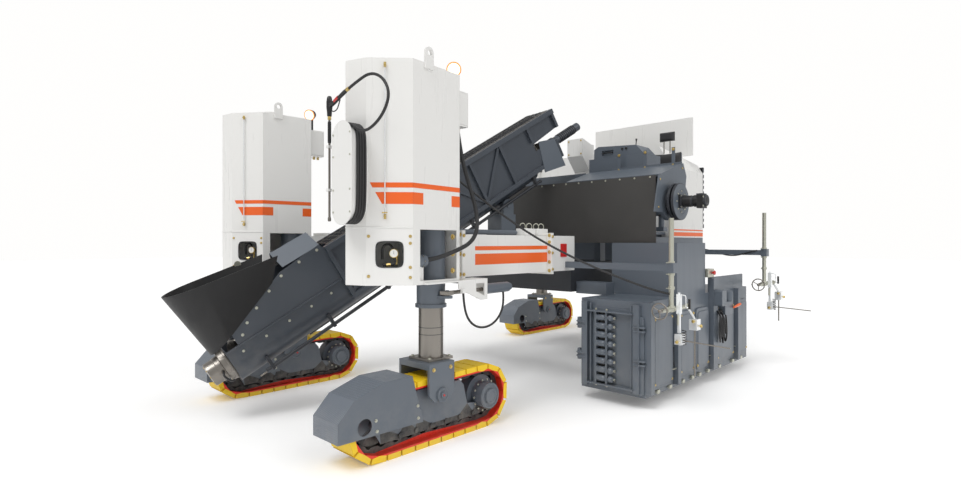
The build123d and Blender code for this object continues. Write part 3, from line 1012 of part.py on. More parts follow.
gland = block(-150, -110, 242, 272, 1260, 1300)
nodes["leg_tower_left"] += left_leg * gland
nodes["wash_hose"] = hose("wash_hose", WASH_HOSE, 22.0) - nodes["wash_hose_coil"] - nodes["wash_lance"]
nodes["tower_hose"] = hose("tower_hose", TOWER_HOSE, 36.0) - nodes["leg_tower_left"]
nodes["steer_hose"] = left_leg * hose("steer_hose", STEER_HOSE, 20.0) - nodes["steer_cylinders"]
nodes["steer_hose"] -= nodes["leg_tower_left"]
nodes["mast_cable"] = hose("mast_cable", MAST_CABLE, 24.0) - nodes["leg_tower_left"] - nodes["sensor_masts"]

# Write each piece in the part's own frame
os.makedirs("parts", exist_ok=True)
shift = Pos(LEG_LINE_X, LEG_LINE_Y, 0)
for name, shape in nodes.items():
    export_step(shift * shape, "parts/" + name + ".step")
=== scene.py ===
# %% [markdown]
# # A slipform paver, dressed over its CAD model
#
# A slipform paver rides on three crawlers and pulls a mould along its left
# side. An inclined auger lifts concrete from a rubber hopper in front of the
# machine to a cross trough, which feeds the mould. The solids come from the CAD
# model and keep their places. This script gives them paint, rubber and steel,
# and adds what a workshop adds last: hoses, bolts, bands, wires and gauges.
#
# All lengths are in metres. The machine's own zero lies on the ground in the
# middle between the two front crawlers, and one shift brings it to the scene.

# %% The frame
import math

import bmesh
import bpy
import numpy as np
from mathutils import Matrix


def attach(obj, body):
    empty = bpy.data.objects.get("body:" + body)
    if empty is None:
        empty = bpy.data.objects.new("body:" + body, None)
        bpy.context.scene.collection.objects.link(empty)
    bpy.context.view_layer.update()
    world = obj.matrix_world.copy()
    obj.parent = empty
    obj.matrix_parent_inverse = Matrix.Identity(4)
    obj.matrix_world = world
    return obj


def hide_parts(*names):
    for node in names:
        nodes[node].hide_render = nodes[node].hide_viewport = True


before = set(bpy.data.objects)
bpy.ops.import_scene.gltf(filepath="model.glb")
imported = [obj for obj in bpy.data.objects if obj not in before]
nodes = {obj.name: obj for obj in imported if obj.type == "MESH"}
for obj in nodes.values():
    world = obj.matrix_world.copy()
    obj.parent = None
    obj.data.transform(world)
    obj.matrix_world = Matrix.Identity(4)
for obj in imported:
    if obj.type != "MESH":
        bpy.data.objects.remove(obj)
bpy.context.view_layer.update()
MACHINE_ZERO = np.array((2.3272, -0.5542, 0.0))

# %% [markdown]
# ## Camera
#
# The photographer stood in front of the left crawler with the lens at eye
# height. Upright edges stay upright in the picture, so the camera is level,
# and a small vertical shift sets the horizon instead of a tilt. The turn was
# found from the vanishing point of the machine's long edges.

# %% Camera
camera_data = bpy.data.cameras.new("view")
camera_data.lens = 20.9
camera_data.sensor_width = 36.0
camera_data.shift_y = -0.0083
camera_data.clip_end = 200.0
camera = bpy.data.objects.new("view", camera_data)
camera.location = (5.5272, 4.3968, 1.7)
camera.rotation_euler = (math.radians(90), 0.0, math.radians(133.85))
bpy.context.scene.collection.objects.link(camera)
bpy.context.scene.camera = camera
print("camera at", tuple(round(c, 2) for c in camera.location))

# %% [markdown]
# ## Studio
#
# The photograph has a white ground that runs into a white background, with soft
# shadows. A large floor under an even world gives that, and two suns with wide
# discs model the shapes: the wider the disc, the softer the edge of its shadow.
# Floor and background meet unseen, because the floor's albedo times
# (world + sum S cos t / pi), with its own faint glow, reaches the strength 1
# that the camera sees behind it.

# %% Studio
scene = bpy.context.scene
scene.view_settings.view_transform = "Standard"
world = bpy.data.worlds.new("studio")
world.use_nodes = True
background = world.node_tree.nodes["Background"]
background.inputs["Color"].default_value = (1.0, 0.995, 0.985, 1.0)
seen = world.node_tree.nodes.new("ShaderNodeLightPath")
strength = world.node_tree.nodes.new("ShaderNodeMapRange")
strength.inputs["To Min"].default_value = 0.5
strength.inputs["To Max"].default_value = 1.0
world.node_tree.links.new(seen.outputs["Is Camera Ray"], strength.inputs["Value"])
world.node_tree.links.new(strength.outputs["Result"], background.inputs["Strength"])
scene.world = world

floor_mesh = bpy.data.meshes.new("floor")
floor_mesh.from_pydata([(-60, -60, 0), (60, -60, 0), (60, 60, 0), (-60, 60, 0)], [], [(0, 1, 2, 3)])
floor = bpy.data.objects.new("floor", floor_mesh)
scene.collection.objects.link(floor)

# name, direction it comes from, strength, width of its disc in degrees
SUNS = [
    ("key", (0.55, 0.05, 0.85), 1.6, 30.0),
    ("side", (-0.15, 0.75, 0.65), 0.65, 40.0),
]
for name, source, power, disc in SUNS:
    sun_data = bpy.data.lights.new("sun_" + name, "SUN")
    sun_data.energy = power
    sun_data.angle = math.radians(disc)
    sun = bpy.data.objects.new("sun_" + name, sun_data)
    level = math.hypot(source[0], source[1])
    sun.rotation_euler = (math.atan2(level, source[2]), 0.0, math.atan2(source[0], -source[1]))
    scene.collection.objects.link(sun)
print("suns:", len(SUNS))

# %% [markdown]
# ## Finishes
#
# Nearly every part is painted steel, so the finishes share four effects. Each
# effect is a node group with named inputs, made once: *edge wear* finds edges by
# comparing a rounded normal with the true one, *grain* gives the fine relief of
# sprayed paint and the slow drift of its tone, *ground dust* settles on what is
# near the floor, and *tread plate* raises rows of small diamonds. A material then
# only chooses values. Object coordinates are used all through, so a pattern keeps
# its place when a joint moves its piece.

# %% Helpers to wire nodes
def fill(tree, node, inputs):
    """Gives a node's inputs their plain values, or a link where the value is a socket."""
    for key, value in inputs.items():
        if isinstance(value, bpy.types.NodeSocket):
            tree.links.new(value, node.inputs[key])
        else:
            node.inputs[key].default_value = value


def add_node(tree, kind, inputs):
    """New shader node with its inputs filled."""
    node = tree.nodes.new("ShaderNode" + kind)
    fill(tree, node, inputs)
    return node


def math_node(tree, operation, first, second=0.0, clamp=False):
    """One Math node: `operation` of two values or sockets; gives its output."""
    node = add_node(tree, "Math", {0: first, 1: second})
    node.operation, node.use_clamp = operation, clamp
    return node.outputs[0]


def noise_node(tree, vector, scale, detail=3.0, roughness=0.5):
    """Noise between 0 and 1 on a vector; `scale` may be a socket."""
    inputs = {"Vector": vector, "Scale": scale, "Detail": detail, "Roughness": roughness}
    return add_node(tree, "TexNoise", inputs).outputs["Fac"]


def ramp_node(tree, value, low, high):
    """Straight ramp from 0 at `low` to 1 at `high`, clamped."""
    inputs = {"Value": value, "From Min": low, "From Max": high}
    return add_node(tree, "MapRange", inputs).outputs["Result"]


def object_place(tree):
    """Object coordinates, so that a pattern rides with its piece."""
    return add_node(tree, "TexCoord", {}).outputs["Object"]


def new_group(name, inputs, outputs):
    """Empty shader group with float inputs {name: default} and named outputs."""
    group = bpy.data.node_groups.new(name, "ShaderNodeTree")
    for title, default in inputs.items():
        made = group.interface.new_socket(title, in_out="INPUT", socket_type="NodeSocketFloat")
        made.default_value = default
    for title, kind in outputs.items():
        group.interface.new_socket(title, in_out="OUTPUT", socket_type=kind)
    return group, group.nodes.new("NodeGroupInput"), group.nodes.new("NodeGroupOutput")


# %% Effect: edge wear
def make_edge_wear():
    """Wear = noise-broken ramp of 1 - dot(rounded normal, true normal)."""
    tree, given, result = new_group("edge wear", {"Radius": 0.004, "Amount": 0.5, "Scale": 14.0},
        {"Wear": "NodeSocketFloat", "Normal": "NodeSocketVector"})
    bevel = add_node(tree, "Bevel", {"Radius": given.outputs["Radius"]})
    bevel.samples = 4
    rounded = bevel.outputs["Normal"]
    true = add_node(tree, "NewGeometry", {}).outputs["Normal"]
    dot = add_node(tree, "VectorMath", {0: rounded, 1: true})
    dot.operation = "DOT_PRODUCT"
    edge = math_node(tree, "SUBTRACT", 1.0, dot.outputs["Value"], True)
    broken = noise_node(tree, object_place(tree), given.outputs["Scale"], 5.0, 0.65)
    patchy = ramp_node(tree, broken, 0.47, 0.62)
    wear = math_node(tree, "MULTIPLY", ramp_node(tree, edge, 0.03, 0.22), patchy)
    wear = math_node(tree, "MULTIPLY", wear, given.outputs["Amount"], True)
    fill(tree, result, {"Wear": wear, "Normal": rounded})
    return tree


# %% Effect: grain
def make_grain():
    """Height = fine noise; Tone = slow noise, about 0.5; Smear = noise drawn out upright."""
    tree, given, result = new_group("grain", {"Fine": 260.0, "Slow": 0.9},
        {"Height": "NodeSocketFloat", "Tone": "NodeSocketFloat", "Smear": "NodeSocketFloat"})
    place = object_place(tree)
    stretched = add_node(tree, "Mapping", {"Vector": place, "Scale": (9.0, 9.0, 0.8)}).outputs["Vector"]
    fill(tree, result, {"Height": noise_node(tree, place, given.outputs["Fine"], 2.0),
            "Tone": noise_node(tree, place, given.outputs["Slow"], 4.0),
            "Smear": noise_node(tree, stretched, 1.6, 4.0, 0.6)})
    return tree


# %% Effect: ground dust
def make_ground_dust():
    """Dust = (1 - z / Height) in patches of noise, times Amount."""
    tree, given, result = new_group("ground dust", {"Height": 0.6, "Amount": 0.3},
        {"Dust": "NodeSocketFloat"})
    place = object_place(tree)
    parts = add_node(tree, "SeparateXYZ", {"Vector": place})
    low = math_node(tree, "DIVIDE", parts.outputs["Z"], given.outputs["Height"])
    low = math_node(tree, "SUBTRACT", 1.0, low, True)
    patches = ramp_node(tree, noise_node(tree, place, 7.0, 6.0, 0.65), 0.38, 0.7)
    dust = math_node(tree, "MULTIPLY", low, patches)
    fill(tree, result, {"Dust": math_node(tree, "MULTIPLY", dust, given.outputs["Amount"], True)})
    return tree


# %% Effect: tread plate
def make_tread():
    """Height = sin(k (s + y)) sin(k (s - y)) above zero, with s = x + z: rows of small diamonds."""
    tree, given, result = new_group("tread plate", {"Pitch": 190.0}, {"Height": "NodeSocketFloat"})
    parts = add_node(tree, "SeparateXYZ", {"Vector": object_place(tree)})
    slope = math_node(tree, "ADD", parts.outputs["X"], parts.outputs["Z"])
    waves = []
    for operation in ("ADD", "SUBTRACT"):
        diagonal = math_node(tree, operation, slope, parts.outputs["Y"])
        phase = math_node(tree, "MULTIPLY", diagonal, given.outputs["Pitch"])
        waves.append(math_node(tree, "SINE", phase))
    fill(tree, result, {"Height": math_node(tree, "MULTIPLY", waves[0], waves[1], True)})
    return tree


EDGE_WEAR, GRAIN = make_edge_wear(), make_grain()
GROUND_DUST, TREAD = make_ground_dust(), make_tread()
print("shared effects:", EDGE_WEAR.name, GRAIN.name, GROUND_DUST.name, TREAD.name, sep=" / ")


# %% Helper to build a finish
def place_group(tree, group, **values):
    """Puts a shared effect into a material with its own values; gives its outputs."""
    node = tree.nodes.new("ShaderNodeGroup")
    node.node_tree = group
    fill(tree, node, values)
    return node.outputs


def mix_colour(tree, share, first, second):
    """Colour between two colours, each a tuple or a socket, by `share`."""
    node = tree.nodes.new("ShaderNodeMix")
    node.data_type = "RGBA"
    first, second = (colour if isinstance(colour, bpy.types.NodeSocket) else (*colour, 1.0)
        for colour in (first, second))
    fill(tree, node, {"Factor": share, "A": first, "B": second})
    return node.outputs["Result"]


DUST_COLOUR = (0.42, 0.39, 0.34)


def make_finish(name, colour, roughness, metallic=0.0, coat=0.0, drift=0.1, relief=0.02, fine=260.0,
        radius=0.004, wear=0.5, bare=(0.45, 0.45, 0.45), dust=0.25, tall=0.6, tread=0.0, glow=0.0):
    """Coated or bare surface: tone drift, worn edges, dust, and a fine relief."""
    material = bpy.data.materials.new(name)
    material.use_nodes = True
    tree = material.node_tree
    grain = place_group(tree, GRAIN, Fine=fine)
    edges = place_group(tree, EDGE_WEAR, Radius=radius, Amount=wear)
    ground = place_group(tree, GROUND_DUST, Height=tall, Amount=dust)
    darker = tuple(c * (1 - drift) for c in colour)
    lighter = tuple(min(1.0, c * (1 + drift)) for c in colour)
    tone = mix_colour(tree, grain["Tone"], darker, lighter)
    tone = mix_colour(tree, edges["Wear"], tone, bare)
    tone = mix_colour(tree, ground["Dust"], tone, DUST_COLOUR)
    rough = math_node(tree, "MULTIPLY", ramp_node(tree, grain["Smear"], -1.0, 2.0), 2.0 * roughness)
    dusty = math_node(tree, "MULTIPLY", ground["Dust"], 0.4)
    normal = edges["Normal"]
    for height, strength, distance in ((grain["Height"], relief, 0.002),
            (place_group(tree, TREAD)["Height"], tread, 0.003)):
        inputs = {"Strength": strength, "Distance": distance, "Height": height, "Normal": normal}
        normal = add_node(tree, "Bump", inputs).outputs["Normal"]
    fill(tree, tree.nodes["Principled BSDF"], {"Base Color": tone,
            "Roughness": math_node(tree, "ADD", rough, dusty, True), "Metallic": metallic,
            "Coat Weight": coat, "Coat Roughness": 0.12, "Normal": normal, "Emission Color": (*colour, 1.0),
            "Emission Strength": glow})
    return material


# %% The finishes
WHITE = make_finish("white_enamel", (0.8, 0.795, 0.775), 0.3, coat=0.35, drift=0.025,
    wear=0.1, dust=0.1)
ORANGE = make_finish("orange_enamel", (0.86, 0.125, 0.008), 0.32, coat=0.3, drift=0.04,
    wear=0.05, dust=0.05)
GREY = make_finish("grey_enamel", (0.108, 0.128, 0.155), 0.36, coat=0.15, drift=0.12,
    wear=0.35, bare=(0.3, 0.31, 0.32), dust=0.22)
TREAD_GREY = make_finish("tread_plate", (0.135, 0.155, 0.185), 0.36, coat=0.1, drift=0.1,
    wear=0.3, bare=(0.34, 0.35, 0.36), dust=0.22, tread=0.9)
CHARCOAL = make_finish("charcoal_enamel", (0.03, 0.033, 0.04), 0.42, drift=0.2, wear=0.4,
    bare=(0.16, 0.16, 0.17), dust=0.2)
PAD_YELLOW = make_finish("yellow_pads", (0.9, 0.6, 0.01), 0.5, drift=0.08, relief=0.06,
    fine=90.0, wear=0.15, bare=(0.95, 0.75, 0.15), dust=0.22, tall=0.2)
PAD_RED = make_finish("red_pads", (0.78, 0.028, 0.008), 0.5, drift=0.12, relief=0.06,
    fine=90.0, wear=0.2, bare=(0.8, 0.2, 0.08), dust=0.15, tall=0.3)
CHAIN_IRON = make_finish("chain_iron", (0.04, 0.04, 0.042), 0.48, metallic=0.4, drift=0.3,
    relief=0.08, wear=0.6, bare=(0.3, 0.28, 0.26), dust=0.5, tall=0.5)
STEEL = make_finish("ground_steel", (0.27, 0.25, 0.225), 0.3, metallic=0.85, drift=0.1,
    wear=0.0, dust=0.1)
ZINC = make_finish("zinc_plate", (0.52, 0.52, 0.44), 0.34, metallic=0.8, drift=0.18, relief=0.03,
    wear=0.2, bare=(0.7, 0.7, 0.65), dust=0.05)
BRASS = make_finish("yellow_chromate", (0.62, 0.46, 0.17), 0.32, metallic=0.85, drift=0.2, wear=0.2,
    bare=(0.8, 0.7, 0.5), dust=0.0)
RUBBER = make_finish("worn_rubber", (0.02, 0.02, 0.021), 0.55, drift=0.25, relief=0.1,
    fine=140.0, wear=0.25, bare=(0.07, 0.07, 0.07), dust=0.12, tall=1.2)
# The hopper flap gets a darker copy of the worn rubber: painted shade for the flap's shaded inside.
SHADED_FLAP_RUBBER = make_finish("flap_rubber_painted_shade", (0.007, 0.007, 0.008), 0.5, drift=0.25,
    relief=0.08, fine=80.0, wear=0.15, bare=(0.03, 0.03, 0.03), dust=0.06, tall=1.2)
SHEET_RUBBER = make_finish("sheet_rubber", (0.05, 0.048, 0.046), 0.42, drift=0.35,
    relief=0.08, fine=60.0, wear=0.2, bare=(0.1, 0.1, 0.1), dust=0.1, tall=2.2)
IRON = make_finish("cast_iron", (0.055, 0.058, 0.06), 0.5, metallic=0.3, drift=0.3,
    relief=0.12, fine=120.0, wear=0.5, bare=(0.22, 0.22, 0.22), dust=0.1)
SEAT = make_finish("seat_cloth", (0.022, 0.022, 0.024), 0.5, drift=0.2, relief=0.18,
    fine=420.0, wear=0.1, bare=(0.06, 0.06, 0.06), dust=0.0)
RED = make_finish("signal_red", (0.55, 0.012, 0.01), 0.3, coat=0.3, drift=0.05, wear=0.0,
    dust=0.0)
SLATE = make_finish("slate_enamel", (0.05, 0.06, 0.076), 0.38, coat=0.1, drift=0.15, wear=0.4,
    bare=(0.2, 0.21, 0.22), dust=0.25, tall=1.0)
BLACK = make_finish("black_plastic", (0.012, 0.012, 0.013), 0.38, drift=0.2, wear=0.1,
    bare=(0.05, 0.05, 0.05), dust=0.05)
AMBER = make_finish("amber_lens", (0.9, 0.26, 0.03), 0.12, coat=0.8, drift=0.03, wear=0.0,
    dust=0.0, glow=0.5)
LIT = make_finish("lit_lamp", (1.0, 0.86, 0.62), 0.1, drift=0.02, wear=0.0, dust=0.0, glow=1.4)
GLASS = make_finish("lamp_glass", (0.85, 0.87, 0.88), 0.08, metallic=0.3, coat=1.0, drift=0.02,
    wear=0.0, dust=0.0)

# %% [markdown]
# The floor gets the same care: a pale matt surface whose tone hardly drifts.

# %% Floor finish
FLOOR = bpy.data.materials.new("pale_floor")
FLOOR.use_nodes = True
floor_grain = place_group(FLOOR.node_tree, GRAIN, Fine=60.0, Slow=0.4)
floor_tone = mix_colour(FLOOR.node_tree, floor_grain["Tone"], (0.93, 0.93, 0.93), (0.96, 0.96, 0.96))
fill(FLOOR.node_tree, FLOOR.node_tree.nodes["Principled BSDF"],
    {"Base Color": floor_tone, "Roughness": 0.8, "Emission Color": (1.0, 1.0, 1.0, 1.0),
        "Emission Strength": 0.13})
floor_mesh.materials.append(FLOOR)

# %% [markdown]
# ## Paint on the solids
#
# Each solid of the CAD model takes its finish by name. A crawler belt is one
# solid, but its pads, plates and chain differ, so its faces are sorted by how
# deep they lie under the tread: the distance from the loop's outside, where the
# loop is a belt round two circles.

# %% Finish of each solid
LEGS = ("left", "right", "rear")
# a star stands for each of the three legs
SOLID_FINISH = {
    WHITE: "leg_tower_* front_frame engine_hood engine_lid hose_reel side_cabinet",
    GREY: "steer_cylinders rear_body platform_deck control_console cross_trough mould_hopper"
          " mould_body mould_front sensor_booms feed_spout feed_pedestal leg_fork_* steer_collar_*",
    SLATE: "feed_trough feed_truss",
    CHARCOAL: "main_frame auger_drive cooler_cowl",
    STEEL: "leg_column_* cross_auger feed_auger feed_drive steer_rod_* feed_mesh",
    ZINC: "sensor_masts",
    RUBBER: "wash_hose_coil",
    # the flap's darker rubber is painted shade
    SHADED_FLAP_RUBBER: "hopper_flap",
    SHEET_RUBBER: "trough_apron",
    IRON: "engine",
    SEAT: "operator_seat",
}


def dress(solid, *finishes):
    """Replaces the solid's materials by the given finishes."""
    solid.data.materials.clear()
    for finish in finishes:
        solid.data.materials.append(finish)


for finish, names in SOLID_FINISH.items():
    for name in names.split():
        for leg in LEGS if "*" in name else ("",):
            dress(nodes[name.replace("*", leg)], finish)

# %% [markdown]
# A crawler's frame is painted above its rollers and dark from there down. Its
# front guard has tread plate on the faces that look up or ahead.

# %% Crawler frames and guards
PLATE_LOW = 0.205


def face_arrays(solid):
    """Middles and normals of a solid's faces, one row to a face."""
    faces = solid.data.polygons
    arrays = np.empty((2, len(faces) * 3))
    faces.foreach_get("center", arrays[0])
    faces.foreach_get("normal", arrays[1])
    return arrays.reshape(2, -1, 3)


for leg in LEGS:
    for name, finishes in (("track_frame_", (GREY, CHAIN_IRON)), ("track_guard_", (GREY, TREAD_GREY))):
        solid = nodes[name + leg]
        dress(solid, *finishes)
        middle, normal = face_arrays(solid)
        low = middle[:, 2] < PLATE_LOW
        second = low if name == "track_frame_" else np.abs(normal[:, 1]) < 0.5
        solid.data.polygons.foreach_set("material_index", second.astype(np.int32))
print("crawler frames painted")

# %% Belts: pads yellow outside, red inside, and a dark chain
LEG_AT = {"left": (0.0, 1.279), "right": (-0.04, -1.279), "rear": (-5.4, -1.67)}
LEG_TURN = {"left": 6.0, "right": -4.0, "rear": 180.0}
# the wheels' centres (x, z) in a crawler; each one's height is also its radius over the pads
REAR_WHEEL, FRONT_WHEEL = np.array((-0.552, 0.288)), np.array((0.655, 0.275))
RED_DEPTH, CHAIN_DEPTH = 0.046, 0.072
for leg, (leg_x, leg_y) in LEG_AT.items():
    belt = nodes["track_belt_" + leg]
    dress(belt, PAD_YELLOW, PAD_RED, CHAIN_IRON)
    spots = (face_arrays(belt)[0] - MACHINE_ZERO - (leg_x, leg_y, 0))[:, [0, 2]]
    # nearest point of the line between the two wheel centres, and the loop's radius there
    span = FRONT_WHEEL - REAR_WHEEL
    share = np.clip((spots - REAR_WHEEL) @ span / (span @ span), 0, 1)
    near = REAR_WHEEL + share[:, None] * span
    radius = REAR_WHEEL[1] + share * span[1]
    depth = radius - np.linalg.norm(spots - near, axis=1)
    kind = np.where(depth > CHAIN_DEPTH, 2, np.where(depth > RED_DEPTH, 1, 0)).astype(np.int32)
    belt.data.polygons.foreach_set("material_index", kind)
    print("belt", leg, "faces by kind:", np.bincount(kind))

# %% [markdown]
# ## Shapes from numbers
#
# Every added piece is a surface worked out on arrays. A *prism* carries an
# outline along a direction, a *turned* form swings a profile about an axis, and
# a *tube* carries a ring along a path. Each works in the local frame of what
# carries it (a leg's tower, the sloping conveyor, the machine), and `Place`
# turns local numbers into the scene's.

# %% Places
class Place:
    """Local frame: origin and three unit directions, as arrays."""

    def __init__(self, origin, ahead=(1, 0, 0), left=(0, 1, 0)):
        self.origin = np.array(origin, float)
        self.ahead = np.array(ahead, float) / np.linalg.norm(ahead)
        left = np.array(left, float)
        up = np.cross(self.ahead, left)
        self.up = up / np.linalg.norm(up)
        self.left = np.cross(self.up, self.ahead)

    def __call__(self, points):
        """Scene points = origin + x ahead + y left + z up."""
        axes = np.stack((self.ahead, self.left, self.up))
        return self.origin + np.asarray(points, float).reshape(-1, 3) @ axes

    def inner(self, origin, ahead=(1, 0, 0), left=(0, 1, 0)):
        """A frame given in this frame's own numbers."""
        corners = self([origin, np.add(origin, ahead), np.add(origin, left)])
        return Place(corners[0], corners[1] - corners[0], corners[2] - corners[0])

    def lifted(self, z):
        """This frame moved along its z."""
        return self.inner((0, 0, z))

    def facing(self, origin, axis):
        """A frame whose z points along `axis`."""
        axis = np.array(axis, float)
        steep = abs(axis[2]) >= 0.9 * np.linalg.norm(axis)
        side = np.array((1.0, 0, 0)) if steep else np.cross(axis, (0, 0, 1))
        return self.inner(origin, side, np.cross(axis, side))

    def wall(self, start, end):
        """A frame on an upright face: x along it, y up, z out of it."""
        return self.inner((*start, 0.0), (*np.subtract(end, start), 0.0), (0, 0, 1))

    def put(self, shape):
        """A shape given in this frame's numbers, in the scene's numbers."""
        points, faces = shape
        return self(points), faces

    def prism(self, *numbers):
        return self.put(prism(*numbers))

    def cuboid(self, *numbers):
        return self.put(cuboid(*numbers))

    def turned(self, *numbers):
        return self.put(turned(*numbers))

    def tube(self, *numbers):
        return self.put(tube(*numbers))

    def pin(self, start, end, radius, sides=16):
        """Round bar between two points."""
        return self.tube([start, end], radius, sides)

    def torus(self, radius, thick):
        """Ring round the z axis."""
        angle = np.linspace(0, 2 * math.pi, 29)
        path = np.column_stack((radius * np.cos(angle), radius * np.sin(angle), np.zeros(29)))
        return self.tube(path, thick, 8)

    def bolts(self, spots, size):
        """Bolts at (x, y) spots, heads along z."""
        head, faces = bolt(size)
        return together([(self(head + (x, y, 0)), faces) for x, y in spots])

    def bolt_ring(self, radius, number, size, turn=0.0):
        """Bolts on a circle round the z axis."""
        angle = turn + np.arange(number) * 2 * math.pi / number
        return self.bolts(np.column_stack((radius * np.cos(angle), radius * np.sin(angle))), size)


MACHINE = Place(MACHINE_ZERO)
LEG = {}
for leg, (leg_x, leg_y) in LEG_AT.items():
    turn = math.radians(LEG_TURN[leg])
    LEG[leg] = MACHINE.inner((leg_x, leg_y, 0), (math.cos(turn), math.sin(turn), 0),
        (-math.sin(turn), math.cos(turn), 0))
FEED_YAW, FEED_RISE = math.radians(12.5), math.radians(30.8)
up_slope = (-math.cos(FEED_YAW) * math.cos(FEED_RISE), math.sin(FEED_YAW) * math.cos(FEED_RISE),
    math.sin(FEED_RISE))
FEED = MACHINE.inner((1.155, -0.516, 0.565), up_slope, (-math.sin(FEED_YAW), -math.cos(FEED_YAW), 0))


def front_at(x):
    """Frame on a front face of the machine: its x points left and its y up."""
    return MACHINE.inner((x, 0, 0), (0, 1, 0), (0, 0, 1))


def side_at(y):
    """Frame on a left face of the machine: its x points back and its y up."""
    return MACHINE.inner((0, y, 0), (-1, 0, 0), (0, 0, 1))


# %% Prisms, turned forms and tubes
def rings_closed(rows, steps):
    """Faces between `rows` rings of `steps` points each, with a cap at both ends."""
    row, step = np.meshgrid(np.arange(rows - 1), np.arange(steps), indexing="ij")
    first, beside = row * steps + step, row * steps + (step + 1) % steps
    quads = np.stack((first, beside, beside + steps, first + steps), axis=-1).reshape(-1, 4).tolist()
    last = (rows - 1) * steps
    return quads + [np.arange(steps)[::-1].tolist(), (last + np.arange(steps)).tolist()]


def prism(outline, low, high):
    """Outline of (x, y) points, pulled in z from `low` to `high`, with two caps."""
    outline = np.asarray(outline, float)
    count = len(outline)
    spread = outline[:, 0] @ np.roll(outline[:, 1], -1) - outline[:, 1] @ np.roll(outline[:, 0], -1)
    if spread < 0:
        outline = outline[::-1]
    points = np.vstack([np.column_stack((outline, np.full(count, z))) for z in (low, high)])
    ring = np.arange(count)
    after = (ring + 1) % count
    sides = np.column_stack((ring, after, after + count, ring + count)).tolist()
    return points, sides + [ring[::-1].tolist(), (ring + count).tolist()]


def turned(profile, steps=24):
    """Profile of (radius, z) points from bottom axis to top axis, swung about z."""
    profile = np.asarray(profile, float)
    angle = np.linspace(0, 2 * math.pi, steps, endpoint=False)
    radius, height = profile[:, 0], profile[:, 1]
    points = np.stack((radius[:, None] * np.cos(angle), radius[:, None] * np.sin(angle),
            np.repeat(height[:, None], steps, axis=1)), axis=-1).reshape(-1, 3)
    return points, rings_closed(len(profile), steps)


def tube(path, radius, sides=10):
    """Ring carried along a path; each ring's frame is the last one, turned least."""
    path = np.asarray(path, float)
    run = np.gradient(path, axis=0)
    run /= np.linalg.norm(run, axis=1)[:, None]
    side = np.cross(run[0], (0.31, 0.52, 0.79))
    sideways = []
    for direction in run:
        side = side - direction * (side @ direction)
        side = side / np.linalg.norm(side)
        sideways.append(side)
    sideways = np.array(sideways)
    upward = np.cross(run, sideways)
    angle = np.linspace(0, 2 * math.pi, sides, endpoint=False)
    radius = np.broadcast_to(radius, len(path))
    cosine, sine = np.cos(angle)[None, :, None], np.sin(angle)[None, :, None]
    ring = cosine * sideways[:, None] + sine * upward[:, None]
    points = (path[:, None] + radius[:, None, None] * ring).reshape(-1, 3)
    return points, rings_closed(len(path), sides)


def curve(control, count=40):
    """Catmull-Rom curve through the control points, as `count` points."""
    control = np.asarray(control, float)
    padded = np.vstack((2 * control[0] - control[1], control, 2 * control[-1] - control[-2]))
    way = np.linspace(0, len(control) - 1 - 1e-9, count)
    span = way.astype(int)
    t = (way - span)[:, None]
    p0, p1, p2, p3 = (padded[span + k] for k in range(4))
    return 0.5 * (2 * p1 + (p2 - p0) * t + (2 * p0 - 5 * p1 + 4 * p2 - p3) * t ** 2
        + (3 * p1 - p0 - 3 * p2 + p3) * t ** 3)


def cuboid(x0, x1, y0, y1, z0, z1):
    """Box between planes."""
    return prism([(x0, y0), (x1, y0), (x1, y1), (x0, y1)], min(z0, z1), max(z0, z1))


def together(shapes):
    """Several shapes as one: points stacked, face numbers moved along."""
    points, faces, start = [], [], 0
    for part, its_faces in shapes:
        points.append(part)
        faces += [[corner + start for corner in face] for face in its_faces]
        start += len(part)
    return np.vstack(points), faces


def add_piece(name, shape, finish, body="chassis", bevel=0.0, smooth=38.0):
    """Puts a shape, or a list of shapes as one, into the scene as a piece that rides on a body."""
    points, faces = together(shape) if isinstance(shape, list) else shape
    mesh = bpy.data.meshes.new(name)
    mesh.from_pydata(np.asarray(points).tolist(), [], faces)
    mesh.validate()
    mesh.materials.append(finish)
    mesh.shade_smooth()
    mesh.set_sharp_from_angle(angle=math.radians(smooth))
    piece = bpy.data.objects.new(name, mesh)
    scene.collection.objects.link(piece)
    if bevel:
        rounding = piece.modifiers.new("edges", "BEVEL")
        rounding.width = bevel
        rounding.segments = 2
        rounding.limit_method = "ANGLE"
    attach(piece, body)
    return piece


def bolt(size):
    """Hexagon head on a washer, standing on z = 0: a few dozen faces."""
    angle = np.arange(6) * math.pi / 3
    hexagon = size * np.column_stack((np.cos(angle), np.sin(angle)))
    washer = turned([(size * 1.45, 0.0), (size * 1.45, size * 0.25)], 12)
    return together([washer, prism(hexagon, size * 0.25, size * 0.95)])


print("shape helpers ready")

# %% [markdown]
# ## Orange bands
#
# The towers carry two bands over the slanted face and the left face: a thin one
# above and a thick one below, whose front end is cut on the slant. They are
# foil a millimetre thick, laid on the paint, so each is a flat prism on the
# plane of its face. The beams and the hood carry longer ones.

# %% Bands
CORNER, NOSE = np.array((0.42, 0.2)), np.array((0.66, -0.08))
SLANT_WIDTH = float(np.linalg.norm(CORNER - NOSE))
THIN_BAND, THICK_BAND = (2.129, 2.169), (2.0, 2.093)
FOIL = 0.0012
# on the slant: heights, and where the cut end starts below and above
SLANT_BANDS = ((THIN_BAND, 0.05, 0.03), (THICK_BAND, 0.125, 0.072))
SIDE_BANDS = ((THIN_BAND, 0, 0.57), (THICK_BAND, 0, 0.115), (THICK_BAND, 0.462, 0.57))
# name, start and end of a face, heights of its two bands
LONG_BANDS = (("beam_left", (-0.63, 1.2), (-1.77, 1.2), ((1.62, 1.66), (1.48, 1.586))),
    ("hood", (-4.76, 1.25), (-5.9, 1.25), ((1.79, 1.85), (1.875, 1.895))))

